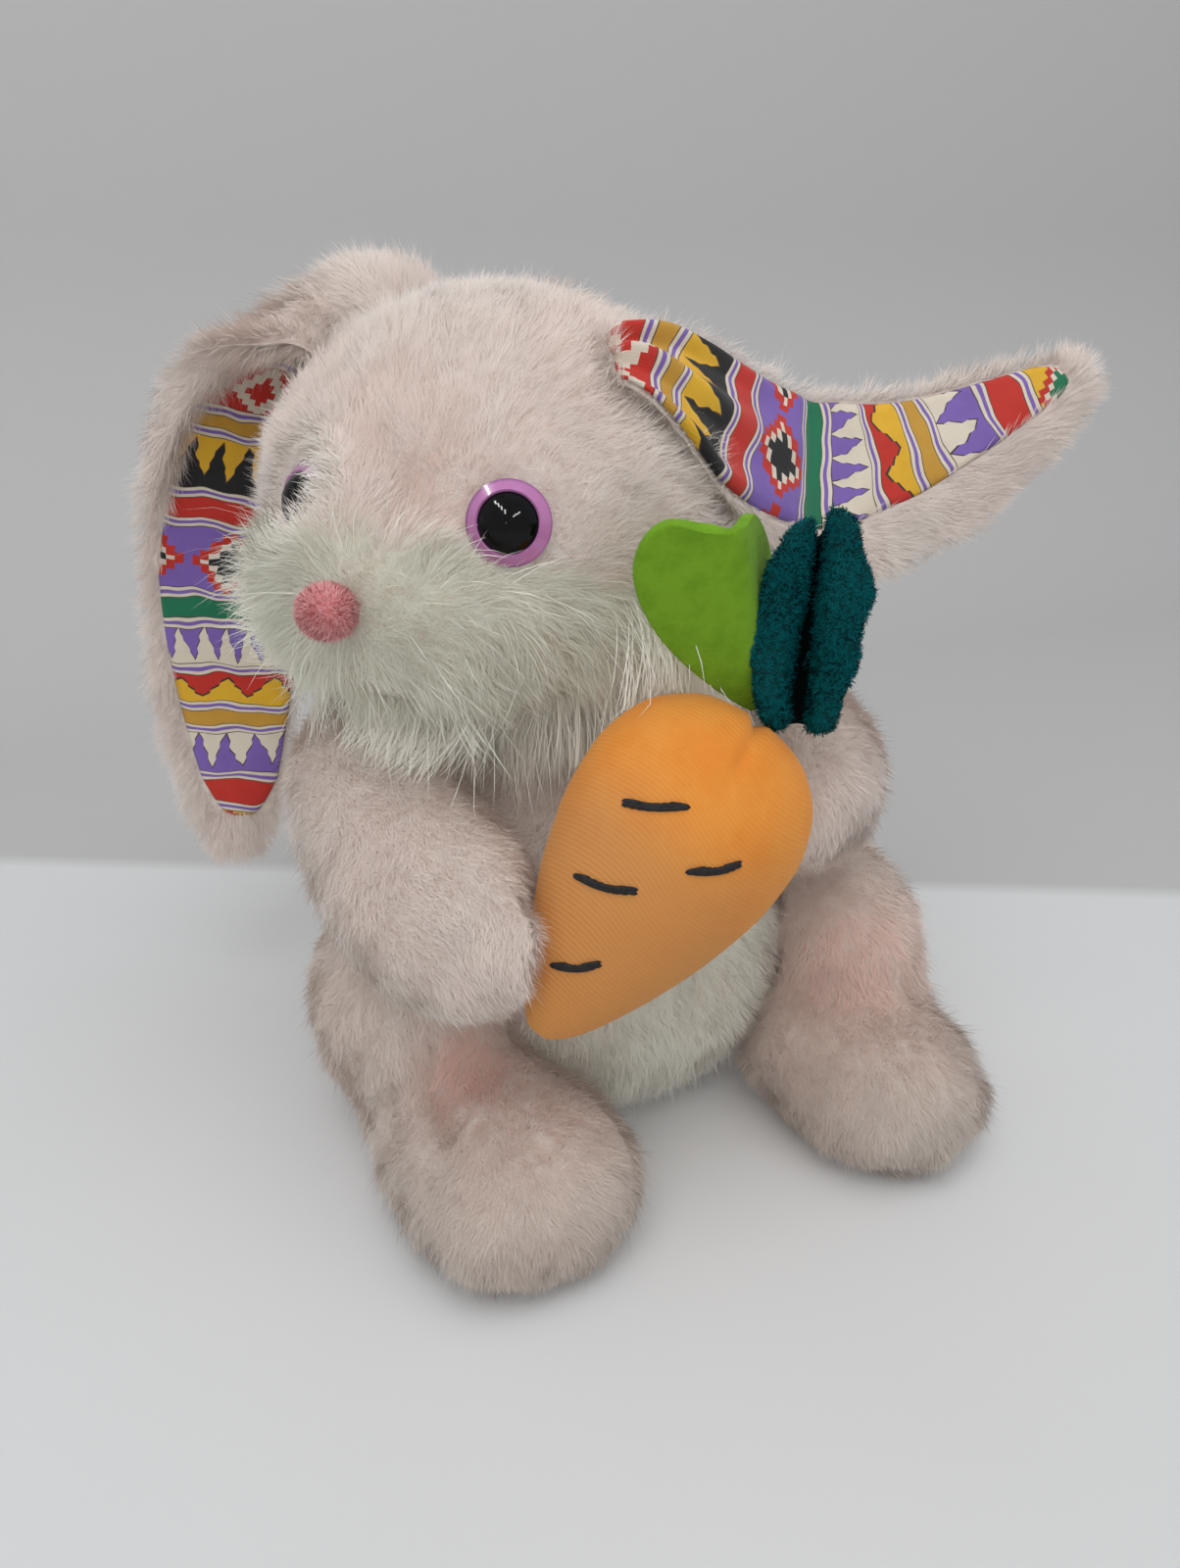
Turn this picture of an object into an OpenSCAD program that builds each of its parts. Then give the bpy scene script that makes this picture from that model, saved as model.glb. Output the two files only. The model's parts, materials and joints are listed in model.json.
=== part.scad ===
// Seated plush rabbit that hugs a stuffed carrot.
// Millimetres. It sits on the plane Z = 0, faces -Y, and its own left side is +X.

/* [Body] */
// Height of the torso from the seat to the neck
body_h = 130; // [124:1:136]
// Width of the torso
body_w = 118; // [113:1:123]
// Depth of the torso
body_d = 114; // [109:1:119]
// Share by which the torso is fuller at the seat than at the neck
body_taper = 0.22; // [0.16:0.01:0.26]
// How far the neck leans to the toy's right side
body_lean = 24; // [19:1:29]
// How far the neck lies behind the middle of the seat
body_back = 12; // [8:1:16]
// How far the seat of the torso is pressed flat
seat_sink = 10; // [7:0.5:12]
// Width of the cream panel on the tummy
tummy_w = 76; // [66:1:84]
// Height of the cream panel on the tummy
tummy_h = 92; // [82:1:98]
// Diameter of the neck opening
neck_d = 30; // [22:1:36]

/* [Head] */
// Width of the head across the cheeks
head_w = 136; // [131:1:141]
// Depth of the head without the muzzle
head_d = 118; // [113:1:123]
// Height of the head
head_h = 116; // [111:1:121]
// How far the head is pressed down over the neck
neck_sink = 12; // [9:1:15]
// Turn of the head to the toy's right side at rest
head_turn = 48; // [42:1:52]
// Angle by which the head turns further to the toy's right side
turn_right = 15; // [5:1:20]
// Angle by which the head turns back to the front
turn_left = 10; // [5:1:14]
// Reach of the muzzle from the middle of the head
muzzle_reach = 75; // [71:1:79]
// Width of the muzzle
muzzle_w = 94; // [88:1:100]
// Height of the muzzle
muzzle_h = 58; // [52:1:62]
// Drop of the muzzle below the middle of the head
muzzle_drop = 15; // [12:1:18]
// Width of the nose pompom
nose_w = 14; // [12:0.5:17]

/* [Eyes] */
// Diameter of the coloured iris flange
iris_d = 20; // [17:0.5:22]
// Diameter of the black pupil dome
pupil_d = 14; // [11:0.5:14.5]
// Turn of the left eye from the middle of the face
left_eye_turn = 29; // [27:1:33]
// Turn of the right eye, which sits nearer to the nose
right_eye_turn = 21; // [20:1:30]
// Height of the eyes on the head, as a share from chin to crown
eye_level = 0.55; // [0.54:0.01:0.58]
// Diameter of the shank behind the iris
shank_d = 4.5; // [3.5:0.25:6]
// Diameter of the washer that locks the shank
washer_d = 14; // [12:0.5:17]

/* [Ears] */
// Width of an ear
ear_w = 60; // [54:1:64]
// Thickness of the pile layer of an ear
ear_thick = 5; // [4:0.25:6]
// Thickness of the printed lining
lining_thick = 0.8; // [0.5:0.1:1.2]
// Angle by which the hanging right ear lifts
hanging_lift = 60; // [20:1:70]
// Angle by which the spread left ear lifts
spread_lift = 30; // [10:1:35]

/* [Arms] */
// Thickness of an arm from side to side
arm_w = 48; // [44:1:51]
// Thickness of an arm from front to back
arm_d = 48; // [44:1:51]
// Angle by which an arm opens
arm_open = 30; // [10:1:40]

/* [Legs] */
// Width of a haunch
haunch_w = 58; // [54:1:62]
// Height of a haunch
haunch_h = 76; // [70:1:82]
// Width of a foot
foot_w = 62; // [56:1:66]
// Height of a foot
foot_h = 46; // [42:1:50]
// Angle by which a leg opens
leg_open = 20; // [8:1:25]

/* [Tail] */
// Diameter of the tail
tail_d = 38; // [32:1:44]

/* [Carrot] */
// Width of the carrot near its top
carrot_w = 60; // [55:1:64]
// Thickness of the carrot near its top
carrot_d = 50; // [46:1:54]
// Share by which the carrot is fuller at its top
carrot_taper = 0.48; // [0.42:0.02:0.52]
// Diameter of the embroidery thread
thread_d = 1.8; // [1.2:0.1:2.4]
// Length of the smooth felt leaf
lime_l = 60; // [54:1:62]
// Width of the smooth felt leaf
lime_w = 45; // [40:1:49]
// Fall of the top edge on the half that bends back, for each millimetre across
lime_fall = 0.75; // [0.5:0.05:0.9]
// Length of the fleece leaf
teal_l = 58; // [52:1:62]
// Width of the fleece leaf
teal_w = 36; // [32:1:40]
// Angle by which a leaf bends
leaf_bend = 12; // [5:1:15]
// Thickness of the smooth felt leaf
felt_thick = 3; // [2:0.25:4]
// Thickness of the fleece leaf
fleece_thick = 6; // [4:0.5:7]

/* [Cloth] */
// Thickness of the pile cloth
pile_wall = 4; // [3:0.25:5]
// Thickness of the velour of the carrot
velour_wall = 2; // [1.5:0.25:3]
// Space left between forms that rest on each other
rest_gap = 0.6; // [0.5:0.1:0.9]
// Space left between cloth and stuffing, and along a seam
fill_gap = 0.2; // [0.1:0.05:0.4]

/* [Hidden] */
pile_pink = [0.93, 0.84, 0.82];
pile_cream = [0.90, 0.88, 0.82];
fill_white = [0.96, 0.96, 0.94];
carrot_orange = [0.96, 0.62, 0.26];
print_red = [0.8, 0.2, 0.13];
fill_in = pile_wall + fill_gap;

function unit(v) = v / norm(v);
function lerp(a, b, t) = a + (b - a) * t;

// A swelling form is [start, end, side direction, width, depth, taper, bluntness, bend]
function form_axis(f) = unit(f[1] - f[0]);
function form_side(f) = unit(f[2] - form_axis(f) * (f[2] * form_axis(f)));
function form_front(f) = cross(form_axis(f), form_side(f));
function form_swell(f, t) = pow(sin(180 * t), f[6]) * (1 + f[5] * cos(180 * t));
function form_spine(f, t, g = 0) =
  lerp(f[0] - form_axis(f) * g, f[1] + form_axis(f) * g, (1 - cos(180 * t)) / 2)
  + f[7] * pow(sin(180 * t), 2);
function form_point(f, t, a, g = 0) =
  form_spine(f, t, g)
  + form_side(f) * (f[3] / 2 + g) * form_swell(f, t) * cos(a)
  + form_front(f) * (f[4] / 2 + g) * form_swell(f, t) * sin(a);
function form_normal(f, t, a) =
  unit(cross(
    form_point(f, t, a + 1) - form_point(f, t, a - 1),
    form_point(f, t + 0.005, a) - form_point(f, t - 0.005, a)
  ));

// The solid of a swelling form, grown outwards by g
module plump(f, g = 0) {
  rings = g < 0 || f[3] < 40 ? 7 : f[3] < 100 ? 9 : 10;
  sides = g < 0 || f[3] < 40 ? 10 : f[3] < 100 ? 13 : 18;
  belt = [
    for (i = [1:rings - 1], j = [0:sides - 1]) form_point(f, i / rings, 360 * j / sides, g)
  ];
  points = concat([form_spine(f, 0, g)], belt, [form_spine(f, 1, g)]);
  last = len(points) - 1;
  start = [for (j = [0:sides - 1]) [0, 1 + j, 1 + (j + 1) % sides]];
  end = [for (j = [0:sides - 1]) [last, last - sides + (j + 1) % sides, last - sides + j]];
  walls = [
    for (i = [0:rings - 3], j = [0:sides - 1], k = [0, 1])
      let (a = 1 + i * sides + j, b = 1 + i * sides + (j + 1) % sides)
      k == 0 ? [a, a + sides, b] : [b, a + sides, b + sides]
  ];
  polyhedron(points = points, faces = concat(start, walls, end), convexity = 4);
}

// Places its children on the surface of a form, with +Z outwards
module on_form(f, t, a) {
  n = form_normal(f, t, a);
  translate(form_point(f, t, a)) rotate([0, acos(n[2]), atan2(n[1], n[0])]) children();
}

// Keeps a cut soft piece as one closed mesh at its own size
module sewn() {
  resize([0, 0, 0]) children();
}

// Everything below a level
module below(z) {
  translate([-300, -300, z - 100]) cube([600, 600, 100]);
}

// Turns its children about the line through p along v
module about(p, v, angle) {
  translate(p) rotate(angle, v) translate(-p) children();
}

// Torso
body_form = [
  [0, 0, -seat_sink], [-body_lean, body_back, body_h], [1, 0, 0],
  body_w, body_d, body_taper, 0.92, [0, 0, 0]
];
neck_axis = form_axis(body_form);
neck_at = body_form[1];
module torso(g = 0) {
  difference() {
    plump(body_form, g);
    below(-g);
  }
}
module torso_skin() {
  difference() {
    torso();
    torso(-pile_wall);
    translate(neck_at - neck_axis * 2 * pile_wall)
      multmatrix(rotation_to(neck_axis)) cylinder(h = 4 * pile_wall, d = neck_d, $fn = 20);
  }
}
function rotation_to(w) =
  let (u = unit(cross([0, 1, 0], w)), v = cross(w, u))
  [[u[0], v[0], w[0], 0], [u[1], v[1], w[1], 0], [u[2], v[2], w[2], 0], [0, 0, 0, 1]];
module tummy_zone(g = 0) {
  translate([-body_lean * 0.3, 0, 3 + tummy_h / 2]) rotate([90, 0, 0])
    scale([1, (tummy_h + 2 * g) / (tummy_w + 2 * g), 1])
    cylinder(h = 200, d = tummy_w + 2 * g, $fn = 24);
}
module body_skin() color(pile_pink) sewn() difference() {
  torso_skin();
  tummy_zone(fill_gap);
}
module tummy_panel() color(pile_cream) sewn() intersection() {
  torso_skin();
  tummy_zone();
}
module body_stuffing() color(fill_white) sewn() torso(-fill_in);

// Head
head_at = neck_at + neck_axis * (head_h / 2 - neck_sink);
head_form = [
  [0, 0, -head_h / 2], [0, 0, head_h / 2], [1, 0, 0],
  head_w, head_d, 0.08, 0.9, [0, 0, 0]
];
muzzle_form = [
  [0, 14, -muzzle_drop], [0, -muzzle_reach, -muzzle_drop], [1, 0, 0],
  muzzle_w, muzzle_h, -0.06, 0.8, [0, 0, 0]
];
neck_turns = [-turn_right, -turn_right / 2, 0, turn_left];
neck_gap = rest_gap + 0.3;
module at_head() {
  translate(head_at) rotate([0, 0, -head_turn]) children();
}
module head_ball(g = 0) {
  plump(head_form, g);
  plump(muzzle_form, g);
}
module head_swept(g) {
  for (a = neck_turns) about(neck_at, neck_axis, a) at_head() head_ball(g);
}
module at_eye(side) {
  at_head() on_form(head_form, eye_level, -90 + (side > 0 ? left_eye_turn : -right_eye_turn)) children();
}
eye_seat = 1;
module head_shell() {
  difference() {
    at_head() head_ball();
    at_head() head_ball(-pile_wall);
    torso(neck_gap);
    for (side = [-1, 1]) at_eye(side) {
      translate([0, 0, -eye_seat]) cylinder(h = 12, d = iris_d + 1, $fn = 24);
      translate([0, 0, -12]) cylinder(h = 20, d = shank_d + 2, $fn = 16);
      translate([0, 0, -14]) cylinder(h = 14 - pile_wall, d = washer_d + 1, $fn = 20);
    }
  }
}
// Lower front of the face, under a plane that falls from below the eyes to the nape
module muzzle_zone(g = 0) {
  at_head() translate([0, -head_d / 2, 2 + g]) rotate([-20, 0, 0])
    translate([-150, -150, -200]) cube([300, 400, 200]);
}
module head_skin() color(pile_pink) sewn() difference() {
  head_shell();
  muzzle_zone(fill_gap);
}
module muzzle_panel() color(pile_cream) sewn() intersection() {
  head_shell();
  muzzle_zone();
}
module head_stuffing() color(fill_white) sewn() difference() {
  at_head() head_ball(-fill_in);
  torso(neck_gap);
  for (side = [-1, 1]) at_eye(side) {
    translate([0, 0, -19]) cylinder(h = 24, d = washer_d + 1.4, $fn = 20);
    translate([0, 0, -eye_seat - fill_gap]) cylinder(h = 12, d = iris_d + 1.4, $fn = 24);
  }
}
nose_form = [
  [0, 4 - muzzle_reach, 5 - muzzle_drop], [0, -10 - muzzle_reach, 7 - muzzle_drop], [1, 0, 0],
  nose_w, nose_w * 0.9, 0, 0.8, [0, 0, 0]
];
module nose() color([0.88, 0.47, 0.51]) sewn() difference() {
  at_head() plump(nose_form, 0);
  at_head() head_ball(fill_gap);
}

// Eyes: a flanged iris on a ribbed shank, a domed pupil and a lock washer
iris_rise = 3;
shank_l = 14;
rib = 0.4;
function shank_profile() = [
  for (i = [0:5], k = [0, 1])
    [shank_d / 2 + (k == 0 ? 0 : rib), -eye_seat - shank_l + 2 + i * 1.4 + k * 1.1]
];
module iris() {
  rotate_extrude($fn = 32) polygon(concat(
    [[0, -eye_seat - shank_l]],
    [[shank_d / 2 - 0.6, -eye_seat - shank_l]],
    shank_profile(),
    [
      [shank_d / 2, -eye_seat + fill_gap],
      [iris_d / 2 - 0.6, -eye_seat + fill_gap],
      [iris_d / 2, -eye_seat + fill_gap + 0.6],
      [iris_d / 2, 0.8],
      [iris_d / 2 - 0.8, 1.5],
      [pupil_d / 2 + 0.5, iris_rise],
      [pupil_d / 2 + 0.1, iris_rise - 0.3],
      [pupil_d / 2 + 0.1, iris_rise - 1],
      [0, iris_rise - 1]
    ]
  ));
}
module pupil() {
  r = pupil_d / 2;
  h = 3.6;
  ball = (r * r + h * h) / (2 * h);
  rotate_extrude($fn = 32) polygon(concat(
    [[0, iris_rise - 1], [r, iris_rise - 1]],
    [
      for (i = [0:8])
        let (a = asin(r / ball) * (1 - i / 8))
        [ball * sin(a), iris_rise - 0.4 + h - ball + ball * cos(a)]
    ]
  ));
}
module washer() {
  bore = shank_d + 2 * rib + 0.2;
  translate([0, 0, -pile_wall - 1.4]) difference() {
    cylinder(h = 1.2, d = washer_d, $fn = 32);
    translate([0, 0, -1]) cylinder(h = 4, d = bore, $fn = 32);
    for (i = [0:5]) rotate([0, 0, 60 * i])
      translate([0, -0.4, -1]) cube([bore / 2 + 1.6, 0.8, 4]);
  }
}
module left_iris() color([0.76, 0.43, 0.71]) at_eye(1) iris();
module right_iris() color([0.76, 0.43, 0.71]) at_eye(-1) iris();
module left_pupil() color([0.03, 0.03, 0.03]) at_eye(1) pupil();
module right_pupil() color([0.03, 0.03, 0.03]) at_eye(-1) pupil();
module left_eye_washer() color([0.9, 0.9, 0.9]) at_eye(1) washer();
module right_eye_washer() color([0.9, 0.9, 0.9]) at_eye(-1) washer();

// Ears: a spine of control points, the direction across the ear along it, as long as the share of the
// width that lies open, the place of the lining's hem across it, and the hinge of its root
function bezier(p, t) =
  len(p) == 1 ? p[0]
  : bezier([for (i = [0:len(p) - 2]) lerp(p[i], p[i + 1], t)], t);
right_ear = [
  [[-38, 18, 36], [-52, 16, 74], [-94, 4, 80], [-108, -8, -30], [-105, -17, -127]],
  [[0, -1, 0], [0, -1, 0], [-0.7, -0.8, 0], [-1, -0.56, 0]],
  [-2.2, 2.2, 0.3],
  [-44, 17, 50], [0.1, 1, 0]
];
left_ear = [
  [[41, -18, 42], [70, 9, 42], [62, 35, -34], [115, 67, 22], [135, 82, 34]],
  [[0.18, -0.3, -0.19], [0.2, -0.96, -0.6], [0.09, 0.11, -0.97], [0.11, -0.29, -0.56]],
  [1.6, 0.1, 0.25],
  [42, -14, 44], [0.7, -0.7, 0]
];
ear_rows = 12;
// Lines across the ear: its edges, and from 1 to 4 the lines of the lining up to its hem
function ear_lines(ear, t) =
  let (inner = -0.9, hem = max(-0.7, min(0.94, bezier(ear[2], t))))
  [-1, inner, lerp(inner, hem, 1 / 3), lerp(inner, hem, 2 / 3), hem, 1];
// Rows stand closer together towards the round tip
function ear_row(i) = 0.994 * lerp(i / ear_rows, sin(90 * i / ear_rows), 0.6);
function ear_half(t) = ear_w / 2 * pow(sin(180 * (0.14 + 0.86 * t)), 0.42);
function ear_face(s) = ear_thick / 2 * (1 - 0.55 * s * s);
// A point of the ear at t along it, s across it from -1 to 1, and h before its middle layer
function ear_point(ear, t, s, h) =
  let (
    along = unit(bezier(ear[0], min(1, t + 0.01)) - bezier(ear[0], max(0, t - 0.01))),
    wide = bezier(ear[1], t) - along * (bezier(ear[1], t) * along),
    out = unit(cross(wide, along))
  )
  bezier(ear[0], t) + wide * s * ear_half(t) + out * h;
// A layer of the ear from row r[0] to r[1] along and from line q[0] to q[1] across, between two heights:
// k[0] and k[1] times the height of the pile face, plus o[0] and o[1]
module ear_layer(ear, r, q, k, o) {
  n = r[1] - r[0];
  m = q[1] - q[0];
  w = m + 1;
  half = (n + 1) * w;
  grid = [
    for (layer = [0, 1], i = [0:n], j = [0:m])
      let (t = ear_row(r[0] + i), s = ear_lines(ear, t)[q[0] + j])
      ear_point(ear, t, s, k[layer] * ear_face(s) + o[layer])
  ];
  sheet = [
    for (i = [0:n - 1], j = [0:m - 1], c = [0, 1])
      let (a = i * w + j)
      c == 0 ? [a, a + 1, a + w] : [a + 1, a + w + 1, a + w]
  ];
  front = [for (f = sheet) [f[2] + half, f[1] + half, f[0] + half]];
  rim = concat(
    [for (j = [0:m - 1]) j],
    [for (i = [0:n - 1]) i * w + m],
    [for (j = [m:-1:1]) n * w + j],
    [for (i = [n:-1:1]) i * w]
  );
  edge = [
    for (i = [0:len(rim) - 1], c = [0, 1])
      let (a = rim[i], b = rim[(i + 1) % len(rim)])
      c == 0 ? [b, a, a + half] : [b, a + half, b + half]
  ];
  polyhedron(points = grid, faces = concat(sheet, front, edge), convexity = 6);
}
// Room that the head needs while the ear lifts about its root
module ear_room(ear, lift) {
  for (k = [0, 0.5, 1]) about(ear[3], ear[4], -lift * k) head_ball(rest_gap);
}
lining_lift = fill_gap + 0.1;
module ear_back(ear, lift) color(pile_pink) sewn() at_head() difference() {
  ear_layer(ear, [0, ear_rows], [0, 5], [-1, 1], [0, 0]);
  ear_room(ear, lift);
}
module ear_lining(ear, lift, first) color(print_red) sewn() at_head() difference() {
  ear_layer(ear, [first, ear_rows - 1], [1, 4], [1, 1], [lining_lift, lining_lift + lining_thick]);
  ear_room(ear, lift);
}
module right_ear_back() ear_back(right_ear, hanging_lift);
module right_ear_lining() ear_lining(right_ear, hanging_lift, 4);
module left_ear_back() ear_back(left_ear, spread_lift);
module left_ear_lining() ear_lining(left_ear, spread_lift, 0);

// Carrot: two velour panels over stuffing, thread dashes and two leaves
carrot_top = [9, -body_d / 2 - 6, body_h + 8];
carrot_tip = [-55, -body_d / 2 - 16, body_h - 69];
carrot_form = [
  carrot_top, carrot_tip, [1, 0, 0],
  carrot_w, carrot_d, carrot_taper, 0.9, [0, 0, 0]
];
carrot_seam = 113;
module carrot(g = 0) {
  difference() {
    plump(carrot_form, g);
    torso(fill_gap);
    head_swept(rest_gap);
  }
}
module carrot_half(side, gap) {
  u = form_side(carrot_form) * cos(carrot_seam) + form_front(carrot_form) * sin(carrot_seam);
  w = form_axis(carrot_form);
  n = cross(w, u) * side;
  o = carrot_form[0];
  multmatrix([
    [u[0], w[0], n[0], o[0]],
    [u[1], w[1], n[1], o[1]],
    [u[2], w[2], n[2], o[2]]
  ]) translate([-150, -150, gap]) cube([300, 300, 150]);
}
module carrot_panel(side) sewn() intersection() {
  difference() {
    carrot();
    plump(carrot_form, -velour_wall);
  }
  carrot_half(side, fill_gap / 2);
}
module carrot_front() color(carrot_orange) carrot_panel(1);
module carrot_back() color(carrot_orange) carrot_panel(-1);
module carrot_stuffing() color(fill_white) sewn() carrot(-velour_wall - fill_gap);
// Each dash runs between two places, given as level from the top and angle
carrot_dashes = [
  [[0.41, 144], [0.36, 119]],
  [[0.54, 145], [0.51, 117]],
  [[0.44, 102], [0.39, 85]],
  [[0.69, 139], [0.64, 110]]
];
thread_rise = 0.2;
module dash(d) {
  n = 4;
  sides = 5;
  r = thread_d / 2;
  rings = [
    for (i = [0:n], j = [0:sides - 1])
      let (
        place = lerp(d[0], d[1], i / n),
        out = form_normal(carrot_form, place[0], place[1]),
        swell = i == 0 || i == n ? 0.5 : 1,
        c = form_point(carrot_form, place[0], place[1]) + out * r * thread_rise
      )
      c + (out * cos(360 * j / sides) + form_axis(carrot_form) * sin(360 * j / sides)) * r * swell
  ];
  walls = [
    for (i = [0:n - 1], j = [0:sides - 1], k = [0, 1])
      let (a = i * sides + j, b = i * sides + (j + 1) % sides)
      k == 0 ? [a, a + sides, b] : [b, a + sides, b + sides]
  ];
  caps = [[for (j = [0:sides - 1]) j], [for (j = [sides - 1:-1:0]) n * sides + j]];
  polyhedron(points = rings, faces = concat(walls, caps), convexity = 2);
}
module carrot_stitches() color([0.08, 0.07, 0.07]) sewn() difference() {
  for (d = carrot_dashes) dash(d);
  plump(carrot_form, 0);
}

// Leaves: half outlines on both sides of a midrib along +Z, each half folded backwards by an angle
function heart(l, w) = [
  for (i = [0:16])
    let (a = 180 * i / 16)
    [
      max(1, w / 2 * pow(sin(a), a < 90 ? 1.3 : 0.75) * (1 - 0.45 * cos(a)) / 1.1),
      l * (1 - cos(a)) / 2 - 0.13 * l * pow(max(0, -cos(a)), 40)
    ]
];
function blade(l, w) = [
  for (i = [0:12])
    let (t = i / 12)
    [w / 2 * pow(sin(180 * (0.22 + 0.7 * t)), 0.5) * (i == 0 || i == 12 ? 0.4 : 1), l * t]
];
module leaf_half(outline, thick) {
  root = [-0.3 * thick, outline[0][1]];
  top = [-0.3 * thick, outline[len(outline) - 1][1]];
  rotate([90, 0, 0]) translate([0, 0, -thick / 2]) linear_extrude(thick)
    polygon(concat([root], outline, [top]));
}
function fallen(outline, fall) =
  let (l = max([for (p = outline) p[1]]))
  [for (p = outline) [p[0], p[1] - fall * p[0] * p[1] / l]];
module leaf(outline, thick, fold_left, fold_right, fall = 0) {
  rotate([0, 0, fold_right]) leaf_half(fallen(outline, fall), thick);
  mirror([1, 0, 0]) rotate([0, 0, fold_left]) leaf_half(outline, thick);
}
// Room that the carrot needs while a leaf bends about its root
module leaf_room(root, swing) {
  for (k = [0, 0.5, 1]) about(root, swing, -leaf_bend * k) plump(carrot_form, rest_gap);
}
lime_root = carrot_top + [0, 3, 0];
lime_swing = [0.6, -0.8, 0];
module lime_leaf() color([0.49, 0.72, 0.16]) sewn() difference() {
  translate(lime_root) rotate([12, -18, 0]) rotate([0, 0, -18])
    leaf(heart(lime_l, lime_w), felt_thick, 0, 67, lime_fall);
  leaf_room(lime_root, lime_swing);
}
teal_root = carrot_top + [12, 0, -8];
teal_swing = [0.86, -0.51, 0];
module teal_leaf() color([0.04, 0.37, 0.37]) sewn() difference() {
  translate(teal_root) rotate([0, 3, 0]) rotate([0, 0, -31])
    leaf(blade(teal_l, teal_w), fleece_thick, -55, -55);
  leaf_room(teal_root, teal_swing);
}

// Arms
right_shoulder = [-body_lean - 52, body_back + 14, body_h - 10];
right_paw = [-body_lean - 22, -body_d / 2 - 23, body_h - 46];
left_shoulder = [66 - body_lean, body_back + 20, body_h - 16];
left_paw = [51 - body_lean, -body_d / 2 - 5, body_h - 32];
right_arm_form = [
  right_shoulder, right_paw, [1, 0, 0],
  arm_w, arm_d, -0.1, 0.72, [-14, -2, -4]
];
left_arm_form = [
  left_shoulder, left_paw, [1, 0, 0],
  arm_w, arm_d, -0.1, 0.72, [14, 0, -4]
];
right_arm_hinge = right_shoulder + [16, 0, -20];
left_arm_hinge = left_shoulder + [-12, -4, -14];
stitch_gap = rest_gap + thread_d / 2 * (1 + thread_rise);
module arm(f, hinge, side, g = 0) {
  difference() {
    plump(f, g);
    for (k = [0, 0.5, 1]) about(hinge, [0, 0, side], -arm_open * k) torso(rest_gap);
    carrot(stitch_gap);
    head_swept(rest_gap);
  }
}
module arm_skin(f, hinge, side) color(pile_pink) sewn() difference() {
  arm(f, hinge, side);
  plump(f, -pile_wall);
}
module right_arm_skin() arm_skin(right_arm_form, right_arm_hinge, -1);
module left_arm_skin() arm_skin(left_arm_form, left_arm_hinge, 1);
module right_arm_stuffing() color(fill_white) sewn() arm(right_arm_form, right_arm_hinge, -1, -fill_in);
module left_arm_stuffing() color(fill_white) sewn() arm(left_arm_form, left_arm_hinge, 1, -fill_in);

// Legs: a haunch and a foot in one bag
hip_z = haunch_h / 2 - 3;
foot_z = foot_h / 2 - 5;
right_hip = [-body_w / 2 - 1, body_back + 22, hip_z - 1];
right_knee = right_hip + [-10, -86, 0];
right_heel = [right_hip[0] - 10, -10, foot_z];
right_toe = right_heel + [14, -90, 0];
left_hip = [body_w / 2 - 9, body_back + 18, hip_z + 1];
left_knee = left_hip + [12, -90, 0];
left_heel = [left_hip[0] - 6, -10, foot_z];
left_toe = left_heel + [14, -88, 0];
right_haunch_form = [
  right_hip, right_knee, [1, 0, 0],
  haunch_w, haunch_h, 0, 0.8, [-4, 0, 2]
];
right_foot_form = [
  right_heel, right_toe, [1, 0, 0],
  foot_w, foot_h, -0.08, 0.7, [0, 0, 0]
];
left_haunch_form = [
  left_hip, left_knee, [1, 0, 0],
  haunch_w, haunch_h, 0, 0.8, [2, 0, 2]
];
left_foot_form = [
  left_heel, left_toe, [1, 0, 0],
  foot_w, foot_h, -0.08, 0.7, [0, 0, 0]
];
right_leg_hinge = right_hip + [10, -8, -4];
left_leg_hinge = left_hip + [-4, -6, -6];
module leg(haunch, foot, hinge, side, g = 0) {
  difference() {
    union() {
      plump(haunch, g);
      plump(foot, g);
    }
    below(-g);
    for (k = [0, 0.5, 1]) about(hinge, [0, 0, side], -leg_open * k) torso(rest_gap);
  }
}
module leg_skin(haunch, foot, hinge, side) color(pile_pink) sewn() difference() {
  leg(haunch, foot, hinge, side);
  difference() {
    union() {
      plump(haunch, -pile_wall);
      plump(foot, -pile_wall);
    }
    below(pile_wall);
  }
}
module right_leg_skin() leg_skin(right_haunch_form, right_foot_form, right_leg_hinge, -1);
module left_leg_skin() leg_skin(left_haunch_form, left_foot_form, left_leg_hinge, 1);
module right_leg_stuffing() color(fill_white) sewn()
  leg(right_haunch_form, right_foot_form, right_leg_hinge, -1, -fill_in);
module left_leg_stuffing() color(fill_white) sewn()
  leg(left_haunch_form, left_foot_form, left_leg_hinge, 1, -fill_in);

// Tail
tail_form = [
  [0, body_d / 2 - 10, 30], [0, body_d / 2 + 22, 32], [1, 0, 0],
  tail_d, tail_d, 0, 0.9, [0, 0, 0]
];
module tail() color(pile_pink) sewn() difference() {
  plump(tail_form);
  torso(fill_gap);
}

body_skin();
tummy_panel();
body_stuffing();
tail();
head_skin();
muzzle_panel();
head_stuffing();
nose();
left_iris();
right_iris();
left_pupil();
right_pupil();
left_eye_washer();
right_eye_washer();
right_ear_back();
right_ear_lining();
left_ear_back();
left_ear_lining();
carrot_front();
carrot_back();
carrot_stuffing();
carrot_stitches();
lime_leaf();
teal_leaf();
right_arm_skin();
right_arm_stuffing();
left_arm_skin();
left_arm_stuffing();
right_leg_skin();
right_leg_stuffing();
left_leg_skin();
left_leg_stuffing();
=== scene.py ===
"""Looks of a seated plush rabbit that hugs a stuffed carrot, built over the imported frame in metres."""
import json
import math
from functools import partial

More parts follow.
